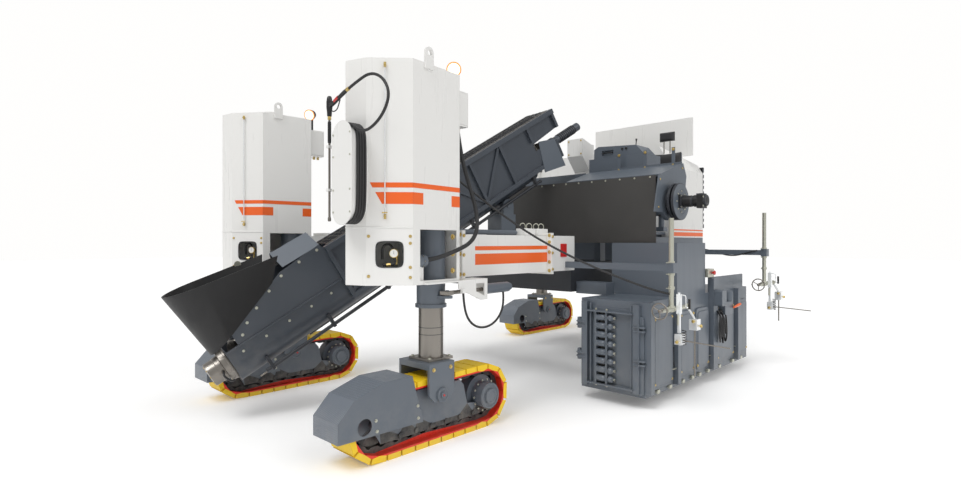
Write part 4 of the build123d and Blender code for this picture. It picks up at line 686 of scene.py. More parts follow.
for leg in LEGS:
    slant, side = LEG[leg].wall(NOSE, CORNER), LEG[leg].wall(CORNER, (-0.15, 0.2))
    bands = [
        slant.prism([(start, low), (SLANT_WIDTH, low), (SLANT_WIDTH, high), (cut, high)], 0, FOIL)
        for (low, high), start, cut in SLANT_BANDS]
    bands += [side.cuboid(start, end, *heights, 0, FOIL) for heights, start, end in SIDE_BANDS]
    add_piece("bands_tower_" + leg, bands, ORANGE)
for name, start, end, bands in LONG_BANDS:
    face = MACHINE.wall(start, end)
    add_piece("bands_" + name, [face.cuboid(0, 1.14, *heights, 0, FOIL) for heights in bands], ORANGE)

# %% [markdown]
# ## Hoses and the sensor cable
#
# A hose bends smoothly, so each one is a quadratic B-spline through a loose
# chain of points: P(t) = sum N_i(t) P_i touches the middle of every run of the
# chain and never turns sharply. The wash hose starts on its reel, where twelve
# points make one oval turn.

# %% Helpers for hoses
def spline_points(route):
    """Points of the open quadratic B-spline that a route of loose points gives."""
    data = bpy.data.curves.new("route", "CURVE")
    data.dimensions = "3D"
    data.resolution_u = 6
    line = data.splines.new("NURBS")
    line.points.add(len(route) - 1)
    for point, spot in zip(line.points, route):
        point.co = (*spot, 1.0)
    line.order_u = 3
    line.use_endpoint_u = True
    guide = bpy.data.objects.new("route", data)
    scene.collection.objects.link(guide)
    bpy.context.view_layer.update()
    mesh = bpy.data.meshes.new_from_object(guide)
    points = np.empty(len(mesh.vertices) * 3)
    mesh.vertices.foreach_get("co", points)
    bpy.data.objects.remove(guide)
    bpy.data.meshes.remove(mesh)
    return points.reshape(-1, 3)


def way_along(points):
    """Distance of each point from the first one along the line."""
    return np.concatenate(([0.0], np.cumsum(np.linalg.norm(np.diff(points, axis=0), axis=1))))


def add_hose(name, route, diameter, stands_for):
    """Black rubber tube along the route's spline with the given diameter; hides the parts that it stands
    for and prints its length.
    """
    middle = spline_points(route)
    hose = add_piece(name, tube(middle, diameter / 2, 14), RUBBER, smooth=60.0)
    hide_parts(*stands_for)
    print(name, "measures", round(float(way_along(middle)[-1]), 3), "m")


# %% The wash hose on its reel, and the hoses at the tower
REEL_Y, REEL_LOW, REEL_HIGH = 1.23, 1.985, 2.475
REEL_TURNS, REEL_PITCH, REEL_FIRST_X = 4, 0.0225, 0.729

count = REEL_TURNS * 12 + 4
step = np.arange(count)
corner_of_turn = step % 12
swing = np.radians(np.where(corner_of_turn < 6, 180 - 36 * corner_of_turn, -36 * (corner_of_turn - 6)))
reach = 0.1385 + 0.006 * np.abs(np.sin(swing))
winding = np.column_stack((REEL_FIRST_X + REEL_PITCH * step / 12, REEL_Y + reach * np.cos(swing),
        np.where(corner_of_turn < 6, REEL_HIGH, REEL_LOW) + reach * np.sin(swing)))
WASH_ROUTE = [
    (0.82, 1.457, 2.512), (0.812, 1.6, 2.552), (0.795, 1.7, 2.65), (0.775, 1.722, 2.775),
    (0.782, 1.65, 2.893), (0.8, 1.525, 2.95), (0.83, 1.4, 2.905), (0.848, 1.27, 2.85)]
wash_route = MACHINE(np.vstack([[(REEL_FIRST_X, REEL_Y - 0.105, 2.2)], winding, WASH_ROUTE]))
TOWER_ROUTE = [
    (-0.262, 1.335, 2.73), (-0.3, 1.345, 2.48), (-0.372, 1.365, 2.24), (-0.428, 1.41, 2.01),
    (-0.385, 1.475, 1.81), (-0.23, 1.54, 1.69), (-0.03, 1.56, 1.625), (0.11, 1.51, 1.57),
    (0.219, 1.443, 1.545)]
STEER_ROUTE = [
    (-0.13, 0.257, 1.26), (-0.135, 0.262, 1.15), (-0.185, 0.262, 1.03), (-0.3, 0.258, 0.95),
    (-0.45, 0.255, 0.925), (-0.6, 0.25, 0.955), (-0.72, 0.24, 1.04), (-0.775, 0.225, 1.15),
    (-0.79, 0.205, 1.235)]
CABLE_ROUTE = [
    (-0.122, 1.067, 2.45), (-0.262, 1.15, 2.372), (-0.409, 1.246, 2.247), (-0.56, 1.35, 2.104),
    (-0.735, 1.471, 1.948), (-0.95, 1.62, 1.774), (-1.195, 1.789, 1.613), (-1.45, 1.965, 1.47),
    (-1.705, 2.142, 1.346), (-1.9, 2.277, 1.262), (-2.02, 2.362, 1.215), (-2.135, 2.448, 1.18)]
add_hose("wash_hose_line", wash_route, 0.022, ("wash_hose", "wash_hose_coil"))
add_hose("tower_hose_line", MACHINE(TOWER_ROUTE), 0.036, ("tower_hose",))
add_hose("steer_hose_line", LEG["left"](STEER_ROUTE), 0.02, ("steer_hose",))

# %% [markdown]
# The sensor cable runs in a corrugated sleeve. Its surface is a ring whose
# radius swings between the ribs and the grooves: r = R (1 - 0.22 sin^2(pi s / p))
# with the rib pitch p, along the spline that its points give.

# %% The cable in its corrugated sleeve
CABLE_RADIUS, RIB_PITCH = 0.012, 0.022
middle = spline_points(MACHINE(CABLE_ROUTE))
distance = way_along(middle)
even = np.linspace(0, distance[-1], int(distance[-1] / RIB_PITCH * 4))
middle = np.column_stack([np.interp(even, distance, middle[:, axis]) for axis in range(3)])
ribbed = CABLE_RADIUS * (1 - 0.22 * np.sin(math.pi * even / RIB_PITCH) ** 2)
cable = add_piece("mast_cable_sleeve", tube(middle, ribbed, 8), RUBBER)
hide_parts("mast_cable")
print("cable measures", round(float(even[-1]), 3), "m")


# %% Reel drum, reel plate's screws and the wash gun
def oval(half, low, high, steps=12):
    """Upright oval outline (y, z): two half circles joined by straights."""
    angle = np.linspace(0, math.pi, steps)
    top = np.column_stack((half * np.cos(angle), high + half * np.sin(angle)))
    return np.vstack((top, -top + (0, high + low)))


reel_face = MACHINE.inner((0, REEL_Y, 0), (0, 1, 0), (0, 0, 1))
drum = reel_face.prism(oval(0.1255, REEL_LOW, REEL_HIGH), 0.714, 0.854)
add_piece("reel_drum", drum, WHITE, bevel=0.002)
screws = [(y, z) for z in (1.93, 2.1, 2.36, 2.53) for y in (-0.115, 0.115)]
add_piece("reel_screws", reel_face.lifted(0.861).bolts(screws, 0.006), ZINC)

GUN = MACHINE.facing((0.85, 1.04, 0), (0, 0, 1))
lance = GUN.turned([(0.009, 1.885), (0.009, 2.695)], 12)
nozzle = GUN.turned([(0.006, 1.862), (0.013, 1.866), (0.013, 1.89), (0.01, 1.896)], 12)
gun_piece = add_piece("gun_lance", [lance, nozzle], STEEL)
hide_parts("wash_lance")
grip = turned([(0.01, 2.478), (0.0135, 2.484), (0.014, 2.5), (0.014, 2.636), (0.0125, 2.65)], 16)
body = turned([(0.012, 2.688), (0.018, 2.694), (0.02, 2.73), (0.024, 2.76), (0.024, 2.806), (0.019, 2.838),
        (0.013, 2.85)], 16)
handle = MACHINE.tube([(0.85, 1.045, 2.775), (0.849, 1.11, 2.79), (0.848, 1.18, 2.818),
        (0.846, 1.25, 2.846), (0.846, 1.282, 2.856)], [0.02, 0.0165, 0.015, 0.016, 0.013], 14)
guard = MACHINE.tube(curve([(0.85, 1.05, 2.752), (0.849, 1.095, 2.722), (0.848, 1.15, 2.735),
        (0.847, 1.19, 2.8)], 16), 0.0045, 8)
add_piece("gun_body", [GUN.put(grip), GUN.put(body), handle, guard], BLACK)
add_piece("gun_stripe", MACHINE.tube([(0.8505, 1.12, 2.796), (0.8495, 1.172, 2.818)], 0.0163, 14), RED)
nuts = [
    GUN.turned([(0.014, 2.664), (0.016, 2.668), (0.016, 2.686), (0.013, 2.69)], 6),
    MACHINE.pin((0.846, 1.281, 2.856), (0.8465, 1.31, 2.862), 0.0155, 6)]
add_piece("gun_nuts", nuts, BRASS)

# %% [markdown]
# ## Fittings of the towers
#
# All three towers carry the same fittings: a sight tube with two valves on the
# slanted face, bolts round the window, a gauge behind it, a seam where the tank
# sits on its housing, a pump and a filler cap. The two front ones also have big
# bolts in the recess.

# %% Tower fittings
SIGHT_AT, SIGHT_LOW, SIGHT_HIGH = 0.15, 1.9, 3.09
for leg in LEGS:
    tower, slant = LEG[leg], LEG[leg].wall(NOSE, CORNER)
    inset, mid = SLANT_WIDTH - 0.022, SLANT_WIDTH / 2
    glass = slant.tube([(SIGHT_AT, SIGHT_LOW, 0.016), (SIGHT_AT, SIGHT_HIGH, 0.016)], 0.0055, 10)
    add_piece("sight_tube_" + leg, glass, GLASS)
    valves = []
    for z in (SIGHT_LOW, SIGHT_HIGH):
        valves += [
            slant.tube([(SIGHT_AT, z, 0.0), (SIGHT_AT, z, 0.03)], 0.011, 6),
            slant.tube([(SIGHT_AT, z - 0.02, 0.016), (SIGHT_AT, z + 0.02, 0.016)], 0.01, 8)]
    valves += [slant.tube([(SIGHT_AT - 0.022, 1.93, 0.032), (SIGHT_AT + 0.022, 1.93, 0.032)], 0.005, 8)]
    add_piece("sight_valves_" + leg, valves, BRASS, bevel=0.001)
    spots = [(0.02, 1.745), (inset, 1.745), (inset, 1.69), (inset, 1.5), (inset, 1.42), (0.02, 1.43)]
    add_piece("window_bolts_" + leg, slant.bolts(spots, 0.009), BRASS)
    turn = np.linspace(0, 2 * math.pi, 49)
    rim = [np.sign(wave) * np.abs(wave) ** 0.42 for wave in (np.cos(turn), np.sin(turn))]
    rim = np.column_stack((mid + 0.1075 * rim[0], 1.602 + 0.1025 * rim[1], np.full(49, 0.001)))
    add_piece("window_rim_" + leg, slant.tube(rim, 0.004, 8), CHARCOAL)
    dial = slant.facing((mid + 0.03, 1.61, -0.04), (0, 0, 1))
    case = dial.turned([(0.034, -0.03), (0.036, 0.0), (0.036, 0.01), (0.031, 0.012)], 24)
    add_piece("gauge_case_" + leg, case, BRASS)
    add_piece("gauge_face_" + leg, dial.turned([(0.031, 0.0118), (0.031, 0.0135)], 24), WHITE)
    needle = prism([(-0.0015, -0.006), (0.0015, -0.006), (0.0006, 0.022), (-0.0006, 0.022)], 0.0135, 0.0145)
    add_piece("gauge_needle_" + leg, dial.put(needle), BLACK)
    pipes = [
        slant.tube(curve([(mid + 0.03, 1.574, -0.045), (mid + 0.045, 1.54, -0.05),
            (mid + 0.01, 1.52, -0.045), (mid - 0.06, 1.516, -0.04)], 18), 0.012, 10),
        slant.tube(curve([(mid + 0.02, 1.64, -0.06), (mid - 0.01, 1.68, -0.07), (mid - 0.06, 1.66, -0.08),
            (mid - 0.07, 1.56, -0.09)], 18), 0.01, 10)]
    add_piece("window_pipes_" + leg, pipes, BLACK)
    taps = [
        slant.tube([(mid - 0.03, 1.516, -0.042), (mid + 0.005, 1.52, -0.045)], 0.015, 6),
        slant.tube([(mid + 0.05, 1.52, -0.045), (mid + 0.052, 1.6, -0.055)], 0.009, 8)]
    add_piece("window_taps_" + leg, taps, BRASS)
    seam = prism([(0.424, 0.203), (0.6635, -0.077), (0.704, -0.281), (0.7, -0.281), (0.659, -0.08),
            (0.42, 0.2)], 1.81, 1.822)
    add_piece("tank_seam_" + leg, tower.put(seam), WHITE, bevel=0.001)
    recess = [(-0.08, 0.178, z) for z in (1.455, 1.6, 1.745)]
    heads = [tower.facing(spot, (0, 1, 0)).bolts([(0, 0)], 0.017) for spot in recess]
    if leg != "rear":
        add_piece("tower_bolts_" + leg, heads, BRASS, bevel=0.001)
    pump = tower.facing((0.235, 0.14, 1.545), (1, 0, 0))
    casing = turned([(0.03, -0.004), (0.0515, -0.002), (0.0515, 0.03), (0.056, 0.032), (0.056, 0.044),
            (0.0515, 0.046), (0.0515, 0.104)], 28)
    add_piece("pump_casing_" + leg, pump.put(casing), GREY, bevel=0.001)
    flange = tower.facing((0.279, 0.14, 1.545), (-1, 0, 0))
    add_piece("pump_bolts_" + leg, flange.bolt_ring(0.0535, 8, 0.004), BRASS)
    cap = turned([(0.064, 3.19), (0.078, 3.192), (0.08, 3.206), (0.074, 3.214), (0.03, 3.216),
            (0.028, 3.224)], 32)
    add_piece("filler_cap_" + leg, tower.inner((0.23, -0.06, 0)).put(cap), WHITE)
    print("tower", leg, "fitted")

# %% [markdown]
# ## Seat cushions
#
# A cushion is a crowned closed form. Its thickness over the outline (u, v) is
# h (1 - |u|^5)^0.35 (1 - |v|^5)^0.35, flat below, with its sides pulled in by
# four hundredths between the corners and sewn channels pressed into the top.

# %% Helper for cushions
def cushion(name, place, length, width, thick, channels):
    """Padded closed form on the place's xy plane, crowned along its z."""
    rows = 41
    u, v = np.meshgrid(np.linspace(-1, 1, rows), np.linspace(-1, 1, rows), indexing="ij")
    pull = 1 - 0.04 * (1 - v ** 2) * np.abs(u) ** 6
    pull_side = 1 - 0.04 * (1 - u ** 2) * np.abs(v) ** 6
    full = np.clip((1 - np.abs(u) ** 5) * (1 - np.abs(v) ** 5), 0, 1)
    crown = full ** 0.35 - sum(0.1 * np.exp(-((u - at) / 0.035) ** 2) * full for at in channels)
    x, y = u * length / 2 * pull, v * width / 2 * pull_side
    top = np.stack((x, y, thick * (0.35 + 0.65 * crown)), -1)
    low = np.stack((x, y, thick * 0.35 * (1 - full ** 0.25)), -1)
    row, step = np.meshgrid(np.arange(rows - 1), np.arange(rows - 1), indexing="ij")
    first = row * rows + step
    quads = np.stack((first, first + rows, first + rows + 1, first + 1), -1).reshape(-1, 4)
    faces = quads.tolist() + (quads[:, ::-1] + rows * rows).tolist()
    points = place(np.vstack((top.reshape(-1, 3), low.reshape(-1, 3))))
    piece = add_piece(name, (points, faces), SEAT, smooth=60.0)
    joined = bmesh.new()
    joined.from_mesh(piece.data)
    bmesh.ops.remove_doubles(joined, verts=joined.verts, dist=1e-5)
    joined.to_mesh(piece.data)
    joined.free()
    return piece


# %% The seat
SEAT_X, SEAT_Y, SEAT_Z = -4.2, 1.36, 2.2805
base = MACHINE.inner((SEAT_X - 0.01, SEAT_Y, SEAT_Z))
rest, head = (MACHINE.inner((SEAT_X - 0.2195, SEAT_Y, SEAT_Z + z), (0, 0, 1), (0, -1, 0))
    for z in (0.405, 0.917))
seat_pieces = [
    cushion("seat_cushion", base, 0.415, 0.42, 0.105, (-0.45, 0.0, 0.45)),
    cushion("seat_back", rest, 0.56, 0.4, 0.085, (-0.55, -0.1, 0.35)),
    cushion("seat_head", head, 0.13, 0.218, 0.085, ())]
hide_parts("operator_seat")
stays = [
    MACHINE.pin((SEAT_X - 0.175, SEAT_Y + y, SEAT_Z + 0.68), (SEAT_X - 0.175, SEAT_Y + y, SEAT_Z + 0.87),
        0.008) for y in (-0.045, 0.045)]
add_piece("seat_stays", stays, STEEL)
print("seat:", len(seat_pieces), "cushions")

# %% [markdown]
# ## Crawlers
#
# The guards are bolted to the frames, the fork's bosses hold their pins behind
# a red mark, and the drive drum closes with a bolted cap.

# %% Crawler fittings
for leg, (leg_x, leg_y) in LEG_AT.items():
    crawler, body = MACHINE.inner((leg_x, leg_y, 0)), "leg_" + leg
    heads, gold, marks, caps = [], [], [], []
    for side in (-1, 1):
        sheet_face = crawler.inner((0, side * 0.1725, 0), (-side, 0, 0), (0, 0, 1))
        heads.append(sheet_face.bolts([(-side * x, z)
                for x, z in ((0.7, 0.345), (0.69, 0.262), (0.29, 0.372), (0.285, 0.272))], 0.0095))
        cheek = crawler.inner((0, side * 0.2, 0), (-side, 0, 0), (0, 0, 1))
        gold.append(cheek.bolts([(-side * x, z) for x, z in ((-0.048, 0.64), (0.142, 0.64))], 0.012))
        boss = crawler.facing((0.05, side * 0.214, 0.42), (0, side, 0))
        caps.append(boss.turned([(0.06, 0.0), (0.058, 0.004), (0.046, 0.004), (0.044, 0.001)], 32))
        marks.append(boss.lifted(0.012).turned([(0.01, 0.0), (0.009, 0.004)], 12))
        hub = crawler.facing((FRONT_WHEEL[0], side * 0.123, FRONT_WHEEL[1]), (0, side, 0))
        caps.append(hub.turned([(0.03, 0.0), (0.03, 0.008), (0.014, 0.008), (0.012, 0.004)], 24))
    drum = crawler.facing((REAR_WHEEL[0], 0.19, REAR_WHEEL[1]), (0, 1, 0))
    caps.append(drum.turned([(0.112, 0.0), (0.108, 0.006), (0.096, 0.006), (0.092, 0.001)], 40))
    caps.append(drum.turned([(0.068, 0.014), (0.066, 0.019), (0.05, 0.019), (0.048, 0.016)], 32))
    heads.append(drum.lifted(0.014).bolt_ring(0.055, 8, 0.005))
    heads.append(drum.lifted(-0.068).bolt_ring(0.14, 14, 0.007))
    add_piece("crawler_bolts_" + leg, heads, ZINC, body)
    add_piece("fork_bolts_" + leg, gold, BRASS, body)
    add_piece("crawler_caps_" + leg, caps, GREY, body, bevel=0.0008)
    add_piece("pin_marks_" + leg, marks, RED, body)
    foot = crawler.lifted(0.7115)
    spots = [(x, y) for x in (-0.112, 0.112) for y in (-0.112, 0.112)]
    add_piece("foot_bolts_" + leg, foot.bolts(spots, 0.013), ZINC, body)
    rings = [
        crawler.lifted(z).turned([(0.1078, 0.0), (0.1081, 0.001), (0.1081, 0.004), (0.1078, 0.005)], 40)
        for z in (0.905, 0.965)]
    add_piece("column_marks_" + leg, rings, CHARCOAL, body)
print("crawlers fitted")

# %% [markdown]
# ## Feeding conveyor
#
# Its numbers run up the slope: x along the trough, y to its right, z off it.

# %% Conveyor fittings
left_wall = FEED.inner((0, -0.2141, 0), (1, 0, 0), (0, 0, 1))
right_wall = FEED.inner((0, 0.2141, 0), (-1, 0, 0), (0, 0, 1))
seam = [
    (0.33, 0.115), (0.42, 0.19), (0.56, 0.262), (0.737, 0.336), (0.905, 0.4), (1.12, 0.425), (1.33, 0.435)]
row = [(x, -0.02) for x in (0.26, 0.5, 0.751, 1.0, 1.234)]
heads = [
    left_wall.bolts(seam, 0.01), right_wall.bolts([(-x, z) for x, z in seam], 0.01),
    FEED.inner((0, -0.2081, 0), (1, 0, 0), (0, 0, 1)).bolts(row, 0.009)]
add_piece("skirt_bolts", heads, ZINC, "feed_conveyor")
# a light cover bridges the trough behind the flap
ridge = np.array([(x, y, 0.462 + (0.15 if y == 0 else 0.0) + z) for z in (0.0, 0.004) for x in (0.96, 1.38)
        for y in (-0.205, 0.0, 0.205)])
faces = [[0, 1, 4, 3], [1, 2, 5, 4], [9, 10, 7, 6], [10, 11, 8, 7], [0, 3, 9, 6], [2, 8, 11, 5],
    [0, 6, 7, 1], [1, 7, 8, 2], [3, 4, 10, 9], [4, 5, 11, 10]]
add_piece("tail_cover", (FEED(ridge), faces), GREY, "feed_conveyor", bevel=0.0015)
washers = []
for x, z in ((0.56, 0.56), (0.7, 0.64)):
    spot = FEED.facing((x, 0.3125, z), (0.05, 1, 0))
    washers += [
        spot.turned([(0.034, -0.002), (0.034, 0.004), (0.03, 0.006)], 24),
        spot.turned([(0.012, 0.006), (0.012, 0.014)], 6)]
add_piece("flap_washers", washers, ZINC, "feed_conveyor")
rod = FEED.pin((0.265, -0.15, -0.335), (1.45, -0.15, -0.325), 0.009)
add_piece("conveyor_rod", rod, STEEL, "feed_conveyor")
lines = [
    FEED.pin((0.33, -0.185, -0.315), (4.3, -0.185, -0.315), 0.019),
    FEED.pin((0.9, 0.12, -0.335), (4.25, 0.12, -0.335), 0.022)]
lines += [
    FEED.cuboid(x - 0.015, x + 0.015, -0.212, -0.16, -0.34, -0.19) for x in (0.4, 1.1, 1.8, 2.5, 3.1, 4.2)]
add_piece("conveyor_pipes", lines, CHARCOAL, "feed_conveyor", bevel=0.002)
# closed wire mesh between the frame's bars: thin wires both ways
wires = [
    FEED.pin((1.46 + 0.04 * k, -0.205, 0.434), (1.46 + 0.04 * k, 0.205, 0.434), 0.0022, 4)
    for k in range(84)]
wires += [FEED.pin((1.45, y, 0.438), (4.83, y, 0.438), 0.0022, 4) for y in np.linspace(-0.19, 0.19, 14)]
add_piece("mesh_wires", wires, CHARCOAL, "feed_conveyor")
# tail drive: bolted flange, bearing cap and its grease points
tail = FEED.facing((0.12, 0, -0.09), (-1, 0, 0))
plate = turned([(0.168, 0.0), (0.17, 0.004), (0.17, 0.02), (0.166, 0.024), (0.122, 0.024), (0.122, 0.07),
        (0.126, 0.074), (0.126, 0.12), (0.118, 0.126), (0.118, 0.205), (0.06, 0.212), (0.058, 0.203)], 40)
add_piece("tail_drive", tail.put(plate), STEEL, "feed_conveyor")
heads = [tail.lifted(0.024).bolt_ring(0.146, 10, 0.008), tail.lifted(0.205).bolt_ring(0.092, 8, 0.008)]
add_piece("tail_bolts", heads, BRASS, "feed_conveyor")
bow = tube(curve([(0, 0, 0), (0.02, 0.03, 0.05), (0.0, 0.1, 0.045), (-0.03, 0.13, 0.0)], 14), 0.01, 8)
bows = [FEED.facing((0.03, side * 0.15, -0.09), (0, side, 0)).put(bow) for side in (-1, 1)]
add_piece("tail_hoses", bows, BLACK, "feed_conveyor")
head_motor = FEED.facing((4.9, 0, -0.02), (1, 0, 0))
ribs = [
    turned([(0.059, z), (0.064, z + 0.004), (0.064, z + 0.014), (0.059, z + 0.018)], 24)
    for z in np.arange(0.1, 0.44, 0.034)]
add_piece("head_motor_ribs", [head_motor.put(rib) for rib in ribs], BLACK, "feed_conveyor")
add_piece("head_motor_bolts", head_motor.bolt_ring(0.062, 6, 0.008), BRASS, "feed_conveyor")

# %% [markdown]
# ## Mould
#
# Rollers stand between two bars on the front plate, which four clamps hold. The
# left side is doors with rounded corners between ribs, held by yellow bolts.

# %% Helper for rounded panels
def rounded(x0, x1, z0, z1, radius, steps=6):
    """Outline of a rectangle with round corners."""
    arc = np.linspace(0, math.pi / 2, steps)
    corners = [
        (x1 - radius, z1 - radius, 0), (x0 + radius, z1 - radius, 1), (x0 + radius, z0 + radius, 2),
        (x1 - radius, z0 + radius, 3)]
    return np.vstack([np.column_stack((x + radius * np.cos(arc + k * math.pi / 2),
            z + radius * np.sin(arc + k * math.pi / 2))) for x, z, k in corners])


# %% The mould's front
front = front_at(-1.986)
rollers, axles = [], []
for z in 0.26 + 0.092 * np.arange(8):
    for y, half in ((1.776, 0.05), (1.884, 0.028)):
        roll = turned([(0.01, -half), (0.026, -half + 0.004), (0.033, -half + 0.016), (0.035, 0.0),
                (0.033, half - 0.016), (0.026, half - 0.004), (0.01, half)], 20)
        rollers.append(MACHINE.facing((-1.958, y, z), (0, 1, 0)).put(roll))
    axles.append(MACHINE.facing((-1.958, 1.925, z), (0, 1, 0)).turned([(0.016, 0.0), (0.016, 0.014)], 6))
add_piece("front_rollers", rollers, GREY)
add_piece("front_axles", axles, ZINC)
add_piece("roller_shadow", front.prism(rounded(1.724, 1.828, 0.206, 0.958, 0.004), 0.0005, 0.003), BLACK)
clamps, clamp_face = [], MACHINE.inner((-1.998, 0, 0), (0, 1, 0), (1, 0, 0))
for y in (1.518, 2.205):
    for z in (0.45, 0.79):
        for lift in (0.0, 0.04):
            points, faces = prism(rounded(y - 0.055, y + 0.065, 0.0, 0.06, 0.022), z + lift,
                z + lift + 0.016)
            clamps.append((clamp_face(points * (1, 1, -1)), faces))
        clamps.append(MACHINE.pin((-1.955, y, z - 0.02), (-1.955, y, z + 0.075), 0.011))
        clamps.append(front.cuboid(y - 0.045, y - 0.01, z - 0.03, z + 0.09, -0.012, 0.03))
add_piece("front_clamps", clamps, GREY, bevel=0.002)
tray_edges = [front.cuboid(y0, y1, 0.17, 1.05, 0.0, 0.04) for y0, y1 in ((1.64, 1.652), (2.12, 2.132))]
tray_edges.append(front.prism(rounded(2.155, 2.25, 0.15, 0.94, 0.03), -0.014, 0.012))
add_piece("front_edges", tray_edges, GREY, bevel=0.003)
spots = [(y, z) for z in (0.185, 0.985) for y in (1.711, 1.841)]
add_piece("front_bolts", front.lifted(0.03).bolts(spots, 0.009), ZINC)

# %% The mould's left side
side_face = side_at(2.2601)
doors = []
for x0, x1, z0, z1 in ((2.12, 2.59, 0.175, 0.96), (2.745, 3.14, 0.215, 0.93), (3.19, 3.56, 0.215, 0.93),
        (3.79, 4.38, 0.215, 0.93), (4.53, 4.86, 0.215, 0.93)):
    doors.append(side_face.prism(rounded(x0, x1, z0, z1, 0.07), -0.004, 0.018))
    doors.append(side_face.prism(rounded(x0 + 0.035, x1 - 0.035, z0 + 0.04, z1 - 0.04, 0.05), 0.0, 0.026))
add_piece("side_doors", doors, GREY, bevel=0.004)
spots = [
    (2.16, 0.235), (2.55, 0.235), (2.16, 0.9), (2.55, 0.9), (2.78, 0.265), (3.105, 0.265), (3.225, 0.265),
    (3.525, 0.265), (3.83, 0.265), (4.34, 0.265), (3.83, 0.88), (4.34, 0.88), (4.56, 0.265), (4.83, 0.265),
    (2.78, 0.885), (3.105, 0.885)]
add_piece("door_bolts", side_face.lifted(0.018).bolts(spots, 0.012), BRASS)
lugs = [
    side_face.prism(rounded(x, x + 0.06, 0.135, 0.175, 0.012), 0.0, 0.03)
    for x in (2.2, 2.48, 2.8, 3.05, 3.25, 3.5, 3.85, 4.3, 4.6)]
add_piece("door_lugs", lugs, ZINC, bevel=0.002)
hook = curve([(-0.075, 0, 0.012), (0, 0, 0.03), (0.035, 0.015, 0.035), (0.045, 0.06, 0.035)], 16)
hooks = [side_face.tube(hook + (x, 0.33, 0), 0.007, 8) for x in (2.6, 3.64, 4.47)]
add_piece("door_hooks", hooks, ZINC)
wire = curve([(2.615, 0.56, 0.01), (2.6, 0.42, 0.012), (2.65, 0.3, 0.012), (2.72, 0.2, 0.012)], 20)
add_piece("side_wires", side_face.tube(wire, 0.006, 8), BLACK)

# %% Vibrator block, its hoses, the stop switch and the orange lever
housing = [
    side_face.prism(rounded(3.6, 3.74, 0.93, 1.12, 0.02), 0.06, 0.16),
    side_face.prism(rounded(3.83, 4.1, 0.8, 0.96, 0.03), 0.03, 0.11),
    MACHINE.facing((-4.02, 2.335, 0.96), (0, 0, 1)).turned(
        [(0.05, 0.0), (0.058, 0.006), (0.058, 0.11), (0.05, 0.13), (0.02, 0.134)], 28)]
add_piece("vibrator_block", housing, GREY, bevel=0.004)
lever = side_face.tube([(4.06, 0.88, 0.13), (4.19, 0.895, 0.135), (4.27, 0.905, 0.135)],
    [0.012, 0.018, 0.015], 12)
add_piece("orange_lever", lever, ORANGE)
switch_box = side_face.prism(rounded(3.5, 3.69, 1.275, 1.375, 0.012), -0.06, 0.03)
add_piece("switch_box", switch_box, ZINC, bevel=0.003)
add_piece("stop_button", side_face.inner((3.64, 1.328, 0.03)).turned(
        [(0.014, 0.0), (0.014, 0.012), (0.026, 0.016), (0.028, 0.026), (0.02, 0.034)], 20), RED)
bunch = []
for k in range(7):
    lean = 0.018 * k
    bunch.append(side_face.tube(curve([(3.7 + lean, 0.86, 0.06),
            (3.69 + 0.03 * k, 0.8 - 0.03 * (k % 3), 0.1), (3.64 + 0.04 * k, 0.64 - 0.04 * (k % 4), 0.11),
            (3.74 + 0.025 * k, 0.48 + 0.05 * (k % 3), 0.085), (3.8 + lean, 0.7, 0.06)], 26), 0.0095, 8))
add_piece("vibrator_hoses", bunch, BLACK)
print("mould fitted")

# %% [markdown]
# ## Sensor masts
#
# Each mast carries a cross tube turned by a hand wheel, an upright slide with a
# crank, and two sensor boxes with yellow knobs whose wands feel for a string.

